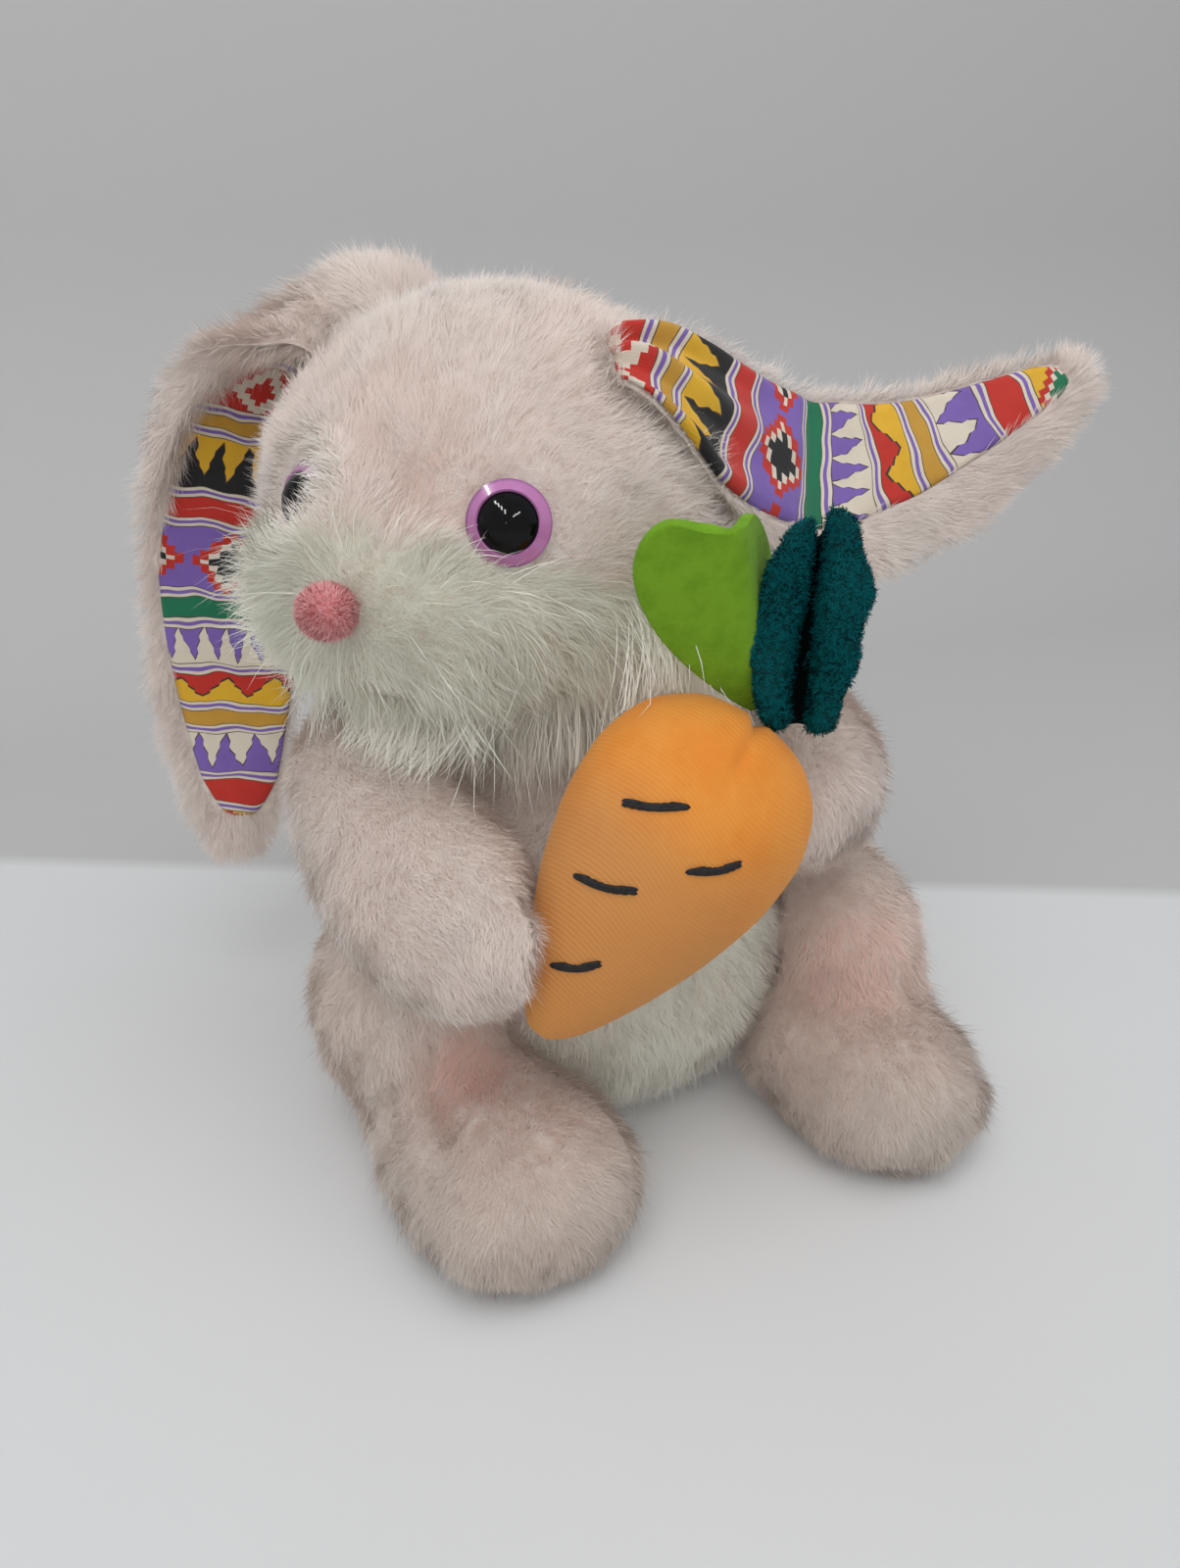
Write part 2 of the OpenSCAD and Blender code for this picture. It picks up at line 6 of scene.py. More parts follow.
import bmesh
import bpy
import numpy as np
from mathutils import Matrix, Vector
from mathutils.bvhtree import BVHTree
from mathutils.kdtree import KDTree
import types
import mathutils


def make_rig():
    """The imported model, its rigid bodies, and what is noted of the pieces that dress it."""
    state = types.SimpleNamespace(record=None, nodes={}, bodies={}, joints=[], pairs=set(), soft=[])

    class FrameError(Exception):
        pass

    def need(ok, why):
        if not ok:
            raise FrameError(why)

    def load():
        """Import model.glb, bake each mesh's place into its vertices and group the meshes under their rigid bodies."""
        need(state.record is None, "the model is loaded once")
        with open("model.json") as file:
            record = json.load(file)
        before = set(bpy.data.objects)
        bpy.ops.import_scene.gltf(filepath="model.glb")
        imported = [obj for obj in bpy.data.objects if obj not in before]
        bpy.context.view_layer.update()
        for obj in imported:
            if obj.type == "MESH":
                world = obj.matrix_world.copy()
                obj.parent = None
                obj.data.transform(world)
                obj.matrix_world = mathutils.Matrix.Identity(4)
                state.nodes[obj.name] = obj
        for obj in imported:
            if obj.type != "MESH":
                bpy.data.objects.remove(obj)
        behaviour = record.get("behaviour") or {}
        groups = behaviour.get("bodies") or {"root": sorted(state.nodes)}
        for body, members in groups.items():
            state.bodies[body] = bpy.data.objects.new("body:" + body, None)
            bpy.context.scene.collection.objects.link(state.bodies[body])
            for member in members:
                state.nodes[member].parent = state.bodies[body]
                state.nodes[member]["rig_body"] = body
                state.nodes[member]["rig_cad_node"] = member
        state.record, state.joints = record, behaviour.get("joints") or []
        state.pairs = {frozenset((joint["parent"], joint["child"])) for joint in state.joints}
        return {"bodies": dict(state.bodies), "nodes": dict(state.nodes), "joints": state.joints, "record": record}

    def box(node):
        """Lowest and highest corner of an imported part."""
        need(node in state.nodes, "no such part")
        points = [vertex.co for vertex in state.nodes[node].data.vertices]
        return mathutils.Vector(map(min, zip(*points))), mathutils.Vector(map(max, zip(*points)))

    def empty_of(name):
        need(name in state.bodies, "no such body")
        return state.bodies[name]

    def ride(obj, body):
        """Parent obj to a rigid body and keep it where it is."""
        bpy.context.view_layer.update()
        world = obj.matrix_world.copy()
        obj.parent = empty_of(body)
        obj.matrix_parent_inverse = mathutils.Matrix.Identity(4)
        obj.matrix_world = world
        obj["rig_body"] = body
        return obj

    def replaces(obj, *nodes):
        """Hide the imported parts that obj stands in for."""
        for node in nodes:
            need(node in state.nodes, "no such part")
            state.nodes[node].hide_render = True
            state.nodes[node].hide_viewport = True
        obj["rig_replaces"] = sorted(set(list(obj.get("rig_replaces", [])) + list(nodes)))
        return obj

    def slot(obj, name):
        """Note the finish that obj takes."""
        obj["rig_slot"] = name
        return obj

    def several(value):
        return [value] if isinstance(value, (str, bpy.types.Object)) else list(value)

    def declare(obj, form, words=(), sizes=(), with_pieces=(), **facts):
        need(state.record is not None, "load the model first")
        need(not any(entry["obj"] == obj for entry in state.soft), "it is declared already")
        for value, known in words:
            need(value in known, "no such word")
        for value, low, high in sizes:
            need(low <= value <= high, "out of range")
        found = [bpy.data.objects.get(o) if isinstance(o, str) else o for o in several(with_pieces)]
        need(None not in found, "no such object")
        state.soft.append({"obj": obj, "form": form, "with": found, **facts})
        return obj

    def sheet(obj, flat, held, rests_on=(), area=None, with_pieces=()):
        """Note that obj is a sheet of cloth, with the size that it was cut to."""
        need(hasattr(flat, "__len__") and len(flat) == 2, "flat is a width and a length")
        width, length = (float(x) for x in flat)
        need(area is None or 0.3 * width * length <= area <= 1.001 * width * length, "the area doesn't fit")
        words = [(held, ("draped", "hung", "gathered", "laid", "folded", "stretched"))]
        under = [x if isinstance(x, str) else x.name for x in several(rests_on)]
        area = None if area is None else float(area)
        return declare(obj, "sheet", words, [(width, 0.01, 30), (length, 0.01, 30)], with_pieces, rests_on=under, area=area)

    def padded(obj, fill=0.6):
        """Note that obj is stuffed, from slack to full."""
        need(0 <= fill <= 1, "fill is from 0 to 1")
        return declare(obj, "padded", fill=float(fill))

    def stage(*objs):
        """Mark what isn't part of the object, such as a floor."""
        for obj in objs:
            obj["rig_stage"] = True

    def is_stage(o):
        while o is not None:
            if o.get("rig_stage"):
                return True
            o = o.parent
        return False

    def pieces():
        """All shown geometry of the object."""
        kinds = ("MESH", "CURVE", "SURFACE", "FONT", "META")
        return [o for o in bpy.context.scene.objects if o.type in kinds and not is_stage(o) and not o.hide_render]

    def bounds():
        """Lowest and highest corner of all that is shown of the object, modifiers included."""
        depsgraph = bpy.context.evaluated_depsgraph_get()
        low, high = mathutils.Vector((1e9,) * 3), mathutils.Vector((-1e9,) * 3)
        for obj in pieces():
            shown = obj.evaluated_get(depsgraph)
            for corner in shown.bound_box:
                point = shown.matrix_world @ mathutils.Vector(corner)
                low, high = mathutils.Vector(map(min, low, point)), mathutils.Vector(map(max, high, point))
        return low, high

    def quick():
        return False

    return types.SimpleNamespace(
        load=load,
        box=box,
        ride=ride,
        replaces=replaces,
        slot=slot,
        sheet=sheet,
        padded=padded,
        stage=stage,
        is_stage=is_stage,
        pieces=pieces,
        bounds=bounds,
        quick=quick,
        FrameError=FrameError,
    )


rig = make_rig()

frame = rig.load()
cad_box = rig.bounds()
rng = np.random.default_rng(41)
MM = 0.001
SIDES = ("right", "left")


# Sizes and places

def unit(v):
    v = np.asarray(v, float)
    return v / np.maximum(np.linalg.norm(v, axis=-1, keepdims=True), 1e-12)


def mm(*numbers):
    return np.array(numbers, float) * MM


NECK_AT = mm(-24, 12, 130)
NECK_AXIS = unit([-24, 12, 140])
HEAD_AT = NECK_AT + NECK_AXIS * 46 * MM
HEAD_TURN = math.radians(-48)
NOSE_AT = mm(0, -80, -9)
MUZZLE_AT, MUZZLE_HALF = mm(0, -30.5, -15), mm(47, 44.5, 29)
EYE_RIM = 10.2 * MM
CARROT_TOP, CARROT_TIP = mm(9, -63, 138), mm(-55, -73, 61)
CARROT_SEAM = math.radians(113)
EAR_WIDTH, EAR_THICK = 60 * MM, 5 * MM
LIME_ROOT, TEAL_ROOT = mm(9, -60, 138), mm(21, -63, 130)
SEAT_CLEAR, SOLE_CLEAR = 3 * MM, 2.5 * MM

PINK_TIP, PINK_ROOT, PINK_BLUSH_AND_FOLD_SHADE = (0.885, 0.835, 0.775), (0.86, 0.765, 0.70), (0.87, 0.52, 0.43)
CREAM_TIP, CREAM_ROOT, MOUTH_SHADE = (0.90, 0.885, 0.785), (0.86, 0.835, 0.72), (0.40, 0.32, 0.25)
# The chin tip colour is a lighter copy of the cream: painted light on the long hair of the left cheek and chin, which
# hangs in shade under the face.
MUZZLE_TIP, MUZZLE_ROOT, CHIN_PAINTED_LIGHT_TIP = (0.715, 0.71, 0.605), (0.665, 0.65, 0.535), (0.96, 0.925, 0.83)
TOE_GREY, LEG_ROOT = (0.46, 0.40, 0.345), (0.82, 0.70, 0.61)
NOSE_TIP, NOSE_ROOT = (0.95, 0.50, 0.50), (0.86, 0.30, 0.31)
TEAL_TIP, TEAL_FOOT = (0.003, 0.140, 0.155), (0.0006, 0.022, 0.026)
LIME_TIP, LIME_FOOT = (0.265, 0.48, 0.036), (0.175, 0.37, 0.016)
# Places where the pink shows stronger, each with its reach and strength: on the brow the pile's own tone, in the folds
# of the limbs painted shade
BLUSHES_AND_FOLD_SHADES = (
    (mm(-66, -55, 42), 18 * MM, 1.0), (mm(-56, -70, 40), 26 * MM, 0.60), (mm(50, -56, 46), 34 * MM, 0.70),
    (mm(-63, -30, 191), 14 * MM, 0.70), (mm(-70, -18, 206), 28 * MM, 0.35), (mm(-66, -30, 100), 16 * MM, 0.45),
)


def turn(p, angle, axis):
    """Turns points about one of the three axes."""
    p, c, s = np.array(p, float), math.cos(angle), math.sin(angle)
    a, b = (axis + 1) % 3, (axis + 2) % 3
    p[..., a], p[..., b] = p[..., a] * c - p[..., b] * s, p[..., a] * s + p[..., b] * c
    return p


turn_x, turn_y, turn_z = (partial(turn, axis=axis) for axis in range(3))


def in_head(p):
    return turn_z(np.asarray(p) - HEAD_AT, -HEAD_TURN)


def from_head(q):
    return turn_z(q, HEAD_TURN) + HEAD_AT


def smooth_step(x, low, high):
    t = np.clip((x - low) / (high - low), 0, 1)
    return t * t * (3 - 2 * t)


def plateau(x, low, rise, fall, high):
    """1 between rise and fall, and smoothly down to 0 at low and high."""
    return smooth_step(x, low, rise) * (1 - smooth_step(x, fall, high))


def around(p, place, reach):
    """1 at a place, less with the distance from it."""
    return np.exp(-np.sum((p - place) ** 2, 1) / reach ** 2)


def beside_line(p, low, high, reach):
    """1 along the line between two places, less with the distance from it."""
    share = np.clip((p - low) @ (high - low) / np.sum((high - low) ** 2), 0, 1)[:, None]
    return around(p, low + share * (high - low), reach)


def drift(p, size, shift=0.0):
    """A smooth wandering value from -1 to 1 over space, with features of the given size."""
    k = np.asarray(p) / size
    x, y, z = k[..., 0], k[..., 1], k[..., 2]
    return (
        np.sin(1.9 * x + 1.3 * y + 0.7 * z + shift)
        + np.sin(-1.1 * x + 2.1 * y + 1.2 * z + 2.3 * shift + 1.0)
        + np.sin(0.8 * x - 1.2 * y + 2.3 * z + 3.1 * shift + 2.0)
        + np.sin(2.6 * x + 0.4 * y - 1.9 * z + 4.7 * shift + 4.0)
    ) / 4


# Meshes

def add_object(name, data):
    thing = bpy.data.objects.new(name, data)
    bpy.context.scene.collection.objects.link(thing)
    return thing


def new_piece(name, verts, faces, material):
    mesh = bpy.data.meshes.new(name)
    mesh.from_pydata(np.asarray(verts).tolist(), [], [list(f) for f in faces])
    mesh.update()
    mesh.shade_smooth()
    mesh.materials.append(material)
    return add_object(name, mesh)


def grid_faces(rows, columns, closed=False):
    """The faces between rows of points, also from the last to the first of a row where it is closed."""
    return [
        (r * columns + c, r * columns + (c + 1) % columns, (r + 1) * columns + (c + 1) % columns, (r + 1) * columns + c)
        for r in range(rows - 1) for c in range(columns if closed else columns - 1)
    ]


def sheet_area(grid):
    across, up = grid[:-1, 1:] - grid[:-1, :-1], grid[1:, :-1] - grid[:-1, :-1]
    return float(np.linalg.norm(np.cross(across, up), axis=2).sum())


def settle_modifiers(piece):
    """Makes what the modifiers show the piece's own mesh."""
    graph = bpy.context.evaluated_depsgraph_get()
    mesh = bpy.data.meshes.new_from_object(piece.evaluated_get(graph))
    piece.modifiers.clear()
    piece.data = mesh
    mesh.shade_smooth()


def reshape(piece, kind, **settings):
    """Applies one modifier."""
    modifier = piece.modifiers.new(kind.lower(), kind)
    for key, value in settings.items():
        setattr(modifier, key, value)
    settle_modifiers(piece)


def islands(mesh):
    """The vertex numbers of each connected part of a mesh, the largest first."""
    bm = bmesh.new()
    bm.from_mesh(mesh)
    seen, groups = set(), []
    bm.verts.ensure_lookup_table()
    for start in bm.verts:
        if start.index in seen:
            continue
        group, todo = [], [start]
        seen.add(start.index)
        while todo:
            v = todo.pop()
            group.append(v.index)
            for e in v.link_edges:
                w = e.other_vert(v)
                if w.index not in seen:
                    seen.add(w.index)
                    todo.append(w)
        groups.append(group)
    bm.free()
    return sorted(groups, key=len, reverse=True)


def points_of(mesh, what="co"):
    out = np.empty(len(mesh.vertices) * 3)
    if what == "co":
        mesh.vertices.foreach_get("co", out)
    else:
        mesh.vertex_normals.foreach_get("vector", out)
    return out.reshape(-1, 3)


def set_points(mesh, co):
    mesh.vertices.foreach_set("co", np.asarray(co, np.float32).ravel())
    mesh.update()


def swell(bag, rise):
    """Moves each vertex of a bag out of its surface, or into it where the rise is negative."""
    set_points(bag.data, points_of(bag.data) + points_of(bag.data, "normal") * np.asarray(rise)[..., None])


def triangles_of(mesh):
    mesh.calc_loop_triangles()
    tri = np.empty(len(mesh.loop_triangles) * 3, np.int32)
    mesh.loop_triangles.foreach_get("vertices", tri)
    return tri.reshape(-1, 3)


def tree_of(piece):
    return BVHTree.FromPolygons(points_of(piece.data).tolist(), triangles_of(piece.data).tolist())


def nearest_of(points):
    """A function that gives the number of the nearest of these points to each place."""
    tree = KDTree(len(points))
    for i, p in enumerate(points):
        tree.insert(p, i)
    tree.balance()
    return lambda places: np.fromiter((tree.find(p)[1] for p in places), np.int64, len(places))


def blow_up(piece, pressure, cap):
    """Fills a bag: a short cloth run under pressure, with no point moved further than cap."""
    before = points_of(piece.data)
    cloth = piece.modifiers.new("fill", "CLOTH").settings
    cloth.quality = 6
    cloth.mass = 0.2
    cloth.tension_stiffness = cloth.compression_stiffness = 12
    cloth.bending_stiffness = 0.8
    cloth.use_pressure = True
    cloth.uniform_pressure_force = pressure
    cloth.effector_weights.gravity = 0
    last_frame = 20
    for number in range(1, last_frame + 1):
        bpy.context.scene.frame_set(number)
    settle_modifiers(piece)
    bpy.context.scene.frame_set(1)
    moved = points_of(piece.data) - before
    length = np.linalg.norm(moved, axis=1, keepdims=True)
    set_points(piece.data, before + moved * np.minimum(1, cap / np.maximum(length, 1e-9)))


def stuffed_bag(name, nodes, voxel=4.5, cap=1.4, inset=1.8, rounds=10):
    """One closed bag over the solids of a piece, blown up by its filling. Its sizes are in millimetres."""
    mesh = bpy.data.meshes.new(name)
    bm = bmesh.new()
    for n in nodes:
        bm.from_mesh(frame["nodes"][n].data)
    bm.to_mesh(mesh)
    bm.free()
    bag = add_object(name, mesh)
    reshape(bag, "REMESH", mode="VOXEL", voxel_size=voxel * MM)
    outer = set(islands(bag.data)[0])
    bm = bmesh.new()
    bm.from_mesh(bag.data)
    bmesh.ops.delete(bm, geom=[v for v in bm.verts if v.index not in outer], context="VERTS")
    bm.to_mesh(bag.data)
    bm.free()
    reshape(bag, "SMOOTH", iterations=rounds)
    swell(bag, -inset * MM)
    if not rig.quick():
        blow_up(bag, 4.0, cap * MM)
    reshape(bag, "SUBSURF", levels=1)
    bag.data.materials.clear()
    return bag


def paint(piece, colours, name="tint"):
    """Stores one colour for each vertex."""
    layer = piece.data.color_attributes.new(name, "FLOAT_COLOR", "POINT")
    rgba = np.ones((len(piece.data.vertices), 4), np.float32)
    rgba[:, :3] = colours
    layer.data.foreach_set("color", rgba.ravel())


def lay_map(piece, name, places):
    """Stores one place on the flat cloth for each vertex."""
    index = np.empty(len(piece.data.loops), np.int32)
    piece.data.loops.foreach_get("vertex_index", index)
    layer = piece.data.uv_layers.new(name=name)
    layer.data.foreach_set("uv", np.stack(places, 1)[index].astype(np.float32).ravel())


def mixed(a, b, share):
    share = np.asarray(share, float)[..., None]
    return np.asarray(a) * (1 - share) + np.asarray(b) * share


# Pile fibres: each is a thin jointed ribbon that stands in the backing

FOOT_DEPTH, FLOOR_GAP, SKIN_GAP, PIERCE = 0.4 * MM, 0.4 * MM, 0.5 * MM, 1.5 * MM


def scatter(base, count):
    """Evenly spread random places on a mesh, and the way out of it there."""
    co, no, tri = points_of(base.data), points_of(base.data, "normal"), triangles_of(base.data)
    a, b, c = co[tri[:, 0]], co[tri[:, 1]], co[tri[:, 2]]
    area = np.linalg.norm(np.cross(b - a, c - a), axis=1)
    pick = rng.choice(len(tri), count, p=area / area.sum())
    u, v = rng.random(count), rng.random(count)
    over = u + v > 1
    u[over], v[over] = 1 - u[over], 1 - v[over]
    weight = np.stack([1 - u - v, u, v], 1)
    at = np.einsum("ij,ijk->ik", weight, co[tri[pick]])
    return at, unit(np.einsum("ij,ijk->ik", weight, no[tri[pick]])), area.sum() / 2


def comb(at, out, flow, swirl, mess):
    """The lie of the pile along the surface: the flow with slow swirls and a little disorder."""
    along = np.asarray(flow(at, out), float)
    along = unit(along - out * np.sum(along * out, 1, keepdims=True))
    angle = swirl * (drift(at, 16 * MM, 1.0) + 0.6 * drift(at, 6 * MM, 5.0)) + rng.normal(0, mess, len(at))
    angle = np.radians(angle)[:, None]
    return along * np.cos(angle) + np.cross(out, along) * np.sin(angle)


def trim(path, clear):
    """Lays fibres over a neighbour that they would enter, and marks those that start in it."""
    good = np.ones(len(path[0]), bool)
    for tree, cloud in clear:
        low, high = cloud.min(0) - PIERCE, cloud.max(0) + PIERCE
        near = np.zeros(len(good), bool)
        for points in path[1:]:
            near |= np.all((points > low) & (points < high), 1)
        for i in np.flatnonzero(near):
            for k in range(1, len(path)):
                place, normal, _, _ = tree.find_nearest(path[k][i])
                depth = (Vector(path[k][i]) - place).dot(normal)
                if depth < SKIN_GAP:
                    if k == 1 and depth < -PIERCE:
                        good[i] = False
                        break
                    path[k][i] = np.array(place + normal * SKIN_GAP)
    return good


def pile(
    name, base, body, slot, count, flow, length, tips, roots, keep=None, clear=(), fibre=None,
    lift=(50, 24), width=0.12, locks=(2.2, 0.36), swirl=40, mess=28, lumps=0.24, tufts=12, joints=1,
    droop=0.0, stray=0.06, face_up=-1.0, fringe=None, fluff=0.22,
):
    """Fibres over a cloth. Lengths and widths are in millimetres and angles in degrees.

    flow, length, tips, roots and keep are functions of the place. clear lists the neighbours to lie over.
    lift is the angle off the cloth at the foot and at the tip, and locks the spacing and pull of the locks.
    swirl, mess, lumps, tufts, droop and stray are kinds of disorder. face_up, fringe and fluff steer how
    the fibres take the light: not from below, toward one side where they hang, and unevenly.
    """
    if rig.quick():
        count, width = count // 3, width * 1.7
    at, out, area = scatter(base, count)
    if keep is not None:
        stay = rng.random(count) < keep(at, out)
        at, out = at[stay], out[stay]
    count, steps = len(at), joints + 1
    along = comb(at, out, flow, swirl, mess)
    long = length(at, out) * MM * rng.uniform(0.75, 1.12, count) * (1 + lumps * drift(at, 8 * MM, 8.0))
    loose = rng.random(count) < stray
    long[loose] *= 1.3
    stand = tufts * drift(at, 9 * MM, 3.0) + rng.normal(0, 9, count) + 28 * loose
    path = [at - out * FOOT_DEPTH]
    for k in range(steps):
        angle = np.radians(np.clip(lift[0] + (lift[1] - lift[0]) * k / joints + stand, 3, 85))[:, None]
        way = unit(out * np.sin(angle) + along * np.cos(angle) + np.array([0, 0, -droop * k / joints]))
        path.append(path[-1] + way * long[:, None] / steps)

    # Tips gather into small locks
    seeds = max(1, min(count, int(area / (locks[0] * MM) ** 2)))
    lock = nearest_of(at[:seeds])(at)
    pull = np.clip(locks[1] * rng.uniform(0.5, 1.3, count), 0, 0.9)[:, None]
    leaders = [p[lock] for p in path]
    for k in range(1, steps + 1):
        share = k / steps
        path[k] += (leaders[k] + (at - at[lock]) * (1 - 0.6 * share) - path[k]) * pull * share
    good = trim(path, clear)
    path = [p[good] for p in path]
    for p in path[1:]:
        p[:, 2] = np.maximum(p[:, 2], FLOOR_GAP)
    at, out, lock, count = at[good], out[good], lock[good], int(good.sum())

    # One ribbon: a pointed foot, a pair of points at each joint and a tip
    run = unit(path[-1] - path[0])
    facing = out + fluff * np.stack([drift(at, 5.5 * MM, shift) for shift in (1.0, 5.0, 9.0)], 1)
    facing[:, 2] = np.maximum(facing[:, 2], face_up)
    if fringe is not None:
        facing = facing + 2.5 * smooth_step(-out[:, 2], -0.1, 0.5)[:, None] * unit(fringe)
    side = unit(np.cross(run, facing) + rng.normal(0, 0.2, (count, 3)))
    side = unit(side - run * np.sum(side * run, 1, keepdims=True))
    half = width * MM * rng.uniform(0.7, 1.25, count)[:, None] / 2
    rows = [path[0]]
    for k in range(1, steps):
        rows += [path[k] - side * half, path[k] + side * half]
    verts = np.stack(rows + [path[-1]], 1)
    each = 2 * joints + 2
    corners, starts = [0, 2, 1], [0]
    for k in range(joints - 1):
        starts.append(len(corners))
        corners += [2 * k + 1, 2 * k + 2, 2 * k + 4, 2 * k + 3]
    starts.append(len(corners))
    corners += [each - 3, each - 2, each - 1]
    fibres = bpy.data.meshes.new(name)
    fibres.vertices.add(count * each)
    fibres.vertices.foreach_set("co", verts.astype(np.float32).ravel())
    number = np.arange(count)[:, None]
    fibres.loops.add(count * len(corners))
    fibres.loops.foreach_set("vertex_index", (number * each + corners).astype(np.int32).ravel())
    fibres.polygons.add(count * len(starts))
    fibres.polygons.foreach_set("loop_start", (number * len(corners) + starts).astype(np.int32).ravel())
    fibres.update(calc_edges=True)
    fibres.shade_smooth()

    # Each fibre has its own small cell of the map, its own tone, and the light of the cloth around it
    share = np.array([0.0] + [k / steps for k in range(1, steps) for _ in (0, 1)] + [1.0])
    wide = np.array([0.5] + [w for _ in range(joints) for w in (0.2, 0.8)] + [0.5])
    cells = math.ceil(math.sqrt(count))
    cell = np.concatenate([number % cells, number // cells], 1)[:, None, :]
    spot = np.stack([wide, 0.08 + 0.84 * share], 1)[corners]
    layer = fibres.uv_layers.new(name="OFBake")
    layer.data.foreach_set("uv", ((cell + spot) / cells).astype(np.float32).ravel())
    facing = unit(facing + 0.3 * unit(np.cross(side, run)) + rng.normal(0, 0.08, (count, 3)))
    fibres.normals_split_custom_set_from_vertices(np.repeat(facing, each, 0).tolist())
    tone = 1 + 0.02 * rng.normal(0, 1, count) + 0.02 * rng.normal(0, 1, seeds)[lock]
    tint = mixed(roots(at)[:, None, :], tips(at)[:, None, :], share[None, :] ** 0.8) * tone[:, None, None]
    fibres.materials.append(fibre or pile_fibre)
    piece = add_object(name, fibres)
    paint(piece, np.clip(tint.reshape(-1, 3), 0, 0.97))
    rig.ride(piece, body)
    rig.slot(piece, slot)


def plain(colour):
    return lambda p: np.tile(np.asarray(colour, float), (len(p), 1))


def even(value):
    return lambda p, n: np.full(len(p), float(value))


def blush_and_fold_shade(p):
    """How strong the pink is, from 0 to 1: slow patches and more on the brow, which are the pile's own tone, and more
    in the folds of the limbs, which is painted shade.
    """
    share = 0.14 + 0.16 * drift(p, 20 * MM, 6.0)
    for place, reach, strength in BLUSHES_AND_FOLD_SHADES:
        share = np.maximum(share, strength * around(p, place, reach))
    return np.clip(share, 0, 1)


def pink_tips(p):
    return mixed(PINK_TIP, PINK_BLUSH_AND_FOLD_SHADE, blush_and_fold_shade(p))


def leg_tips(p):
    """Greyer and darker low down and toward the front, over the toes."""
    worn = 0.65 * (1 - smooth_step(p[:, 2], 16 * MM, 60 * MM)) * (1 - smooth_step(p[:, 1], -74 * MM, -28 * MM))
    return mixed(pink_tips(p), TOE_GREY, worn)


def leg_roots(p):
    return mixed(LEG_ROOT, PINK_BLUSH_AND_FOLD_SHADE, 0.8 * np.clip(blush_and_fold_shade(p) - 0.3, 0, 1))


# Materials

class Signal:
    """The output of a shader node. Arithmetic with it adds maths nodes."""

    def __init__(self, tree, socket):
        self.tree, self.socket = tree, socket

    def maths(self, operation, *values, clamp=False):
        node = self.tree.nodes.new("ShaderNodeMath")
        node.operation, node.use_clamp = operation, clamp
        for socket, value in zip(node.inputs, values):
            feed(self.tree, socket, value)
        return Signal(self.tree, node.outputs[0])

    def __add__(self, other):
        return self.maths("ADD", self, other)

    def __sub__(self, other):
        return self.maths("SUBTRACT", self, other)

    def __rsub__(self, other):
        return self.maths("SUBTRACT", other, self)

    def __mul__(self, other):
        return self.maths("MULTIPLY", self, other)

    def __truediv__(self, other):
        return self.maths("DIVIDE", self, other)

    def __gt__(self, other):
        return self.maths("GREATER_THAN", self, other)

    def __lt__(self, other):
        return self.maths("LESS_THAN", self, other)

    def __abs__(self):
        return self.maths("ABSOLUTE", self)

    def __round__(self):
        return self.maths("ROUND", self)

    def __floor__(self):
        return self.maths("FLOOR", self)

    def swing(self):
        """Up to a half and down to 0 again, once in each whole step."""
        return self.maths("PINGPONG", self, 0.5)

    def ramp(self, start, slope):
        """0 up to the start, then up to 1 with the slope."""
        return self.maths("MULTIPLY", self - start, slope, clamp=True)


def feed(tree, socket, value):
    """Gives a shader socket a number, a colour, a place or the output of another node."""
    if isinstance(value, Signal):
        tree.links.new(value.socket, socket)
    else:
        socket.default_value = (*value, 1) if isinstance(value, tuple) else value


def add_node(tree, kind, output=0, **settings):
    """Adds a shader node with its settings and inputs, and gives one of its outputs."""
    node = tree.nodes.new("ShaderNode" + kind)
    for key, value in settings.items():
        if key in node.inputs:
            feed(tree, node.inputs[key], value)
        else:
            setattr(node, key, value)
    return Signal(tree, node.outputs[output])


def first_two(tree, place):
    return [add_node(tree, "SeparateXYZ", axis, Vector=place) for axis in (0, 1)]


def blend_colour(tree, share, a, b, mode="MIX"):
    node = tree.nodes.new("ShaderNodeMix")
    node.data_type, node.blend_type = "RGBA", mode
    for number, value in ((0, share), (6, a), (7, b)):
        feed(tree, node.inputs[number], value)
    return Signal(tree, node.outputs[2])


def new_group(name, second, **inputs):
    """A shader group with float inputs (a number) and colour inputs (a tuple), which gives a colour and a number."""
    tree = bpy.data.node_groups.new(name, "ShaderNodeTree")
    for label, value in inputs.items():
        kind = "NodeSocketColor" if isinstance(value, tuple) else "NodeSocketFloat"
        feed(tree, tree.interface.new_socket(label, in_out="INPUT", socket_type=kind), value)
    tree.interface.new_socket("Color", in_out="OUTPUT", socket_type="NodeSocketColor")
    tree.interface.new_socket(second, in_out="OUTPUT", socket_type="NodeSocketFloat")
    given = {socket.name: Signal(tree, socket) for socket in tree.nodes.new("NodeGroupInput").outputs}
    return tree, given, tree.nodes.new("NodeGroupOutput").inputs


def use_group(tree, group, **values):
    node = tree.nodes.new("ShaderNodeGroup")
    node.node_tree = group
    for key, value in values.items():
        feed(tree, node.inputs[key], value)
    return [Signal(tree, socket) for socket in node.outputs]


def new_material(name, roughness, **sockets):
    material = bpy.data.materials.new(name)
    material.use_nodes = True
    tree = material.node_tree
    shader = tree.nodes["Principled BSDF"]
    shader.inputs["Roughness"].default_value = roughness
    for key, value in sockets.items():
        feed(tree, shader.inputs[key.replace("_", " ")], value)
    return material, tree, shader


def dress(tree, shader, colour, height=None, strength=0.0, distance=0.0):
    """Gives a shader its colour and, with a height, its fine relief."""
    feed(tree, shader.inputs["Base Color"], colour)
    if height is not None:
        relief = add_node(tree, "Bump", Strength=strength, Distance=distance, Height=height)
        feed(tree, shader.inputs["Normal"], relief)


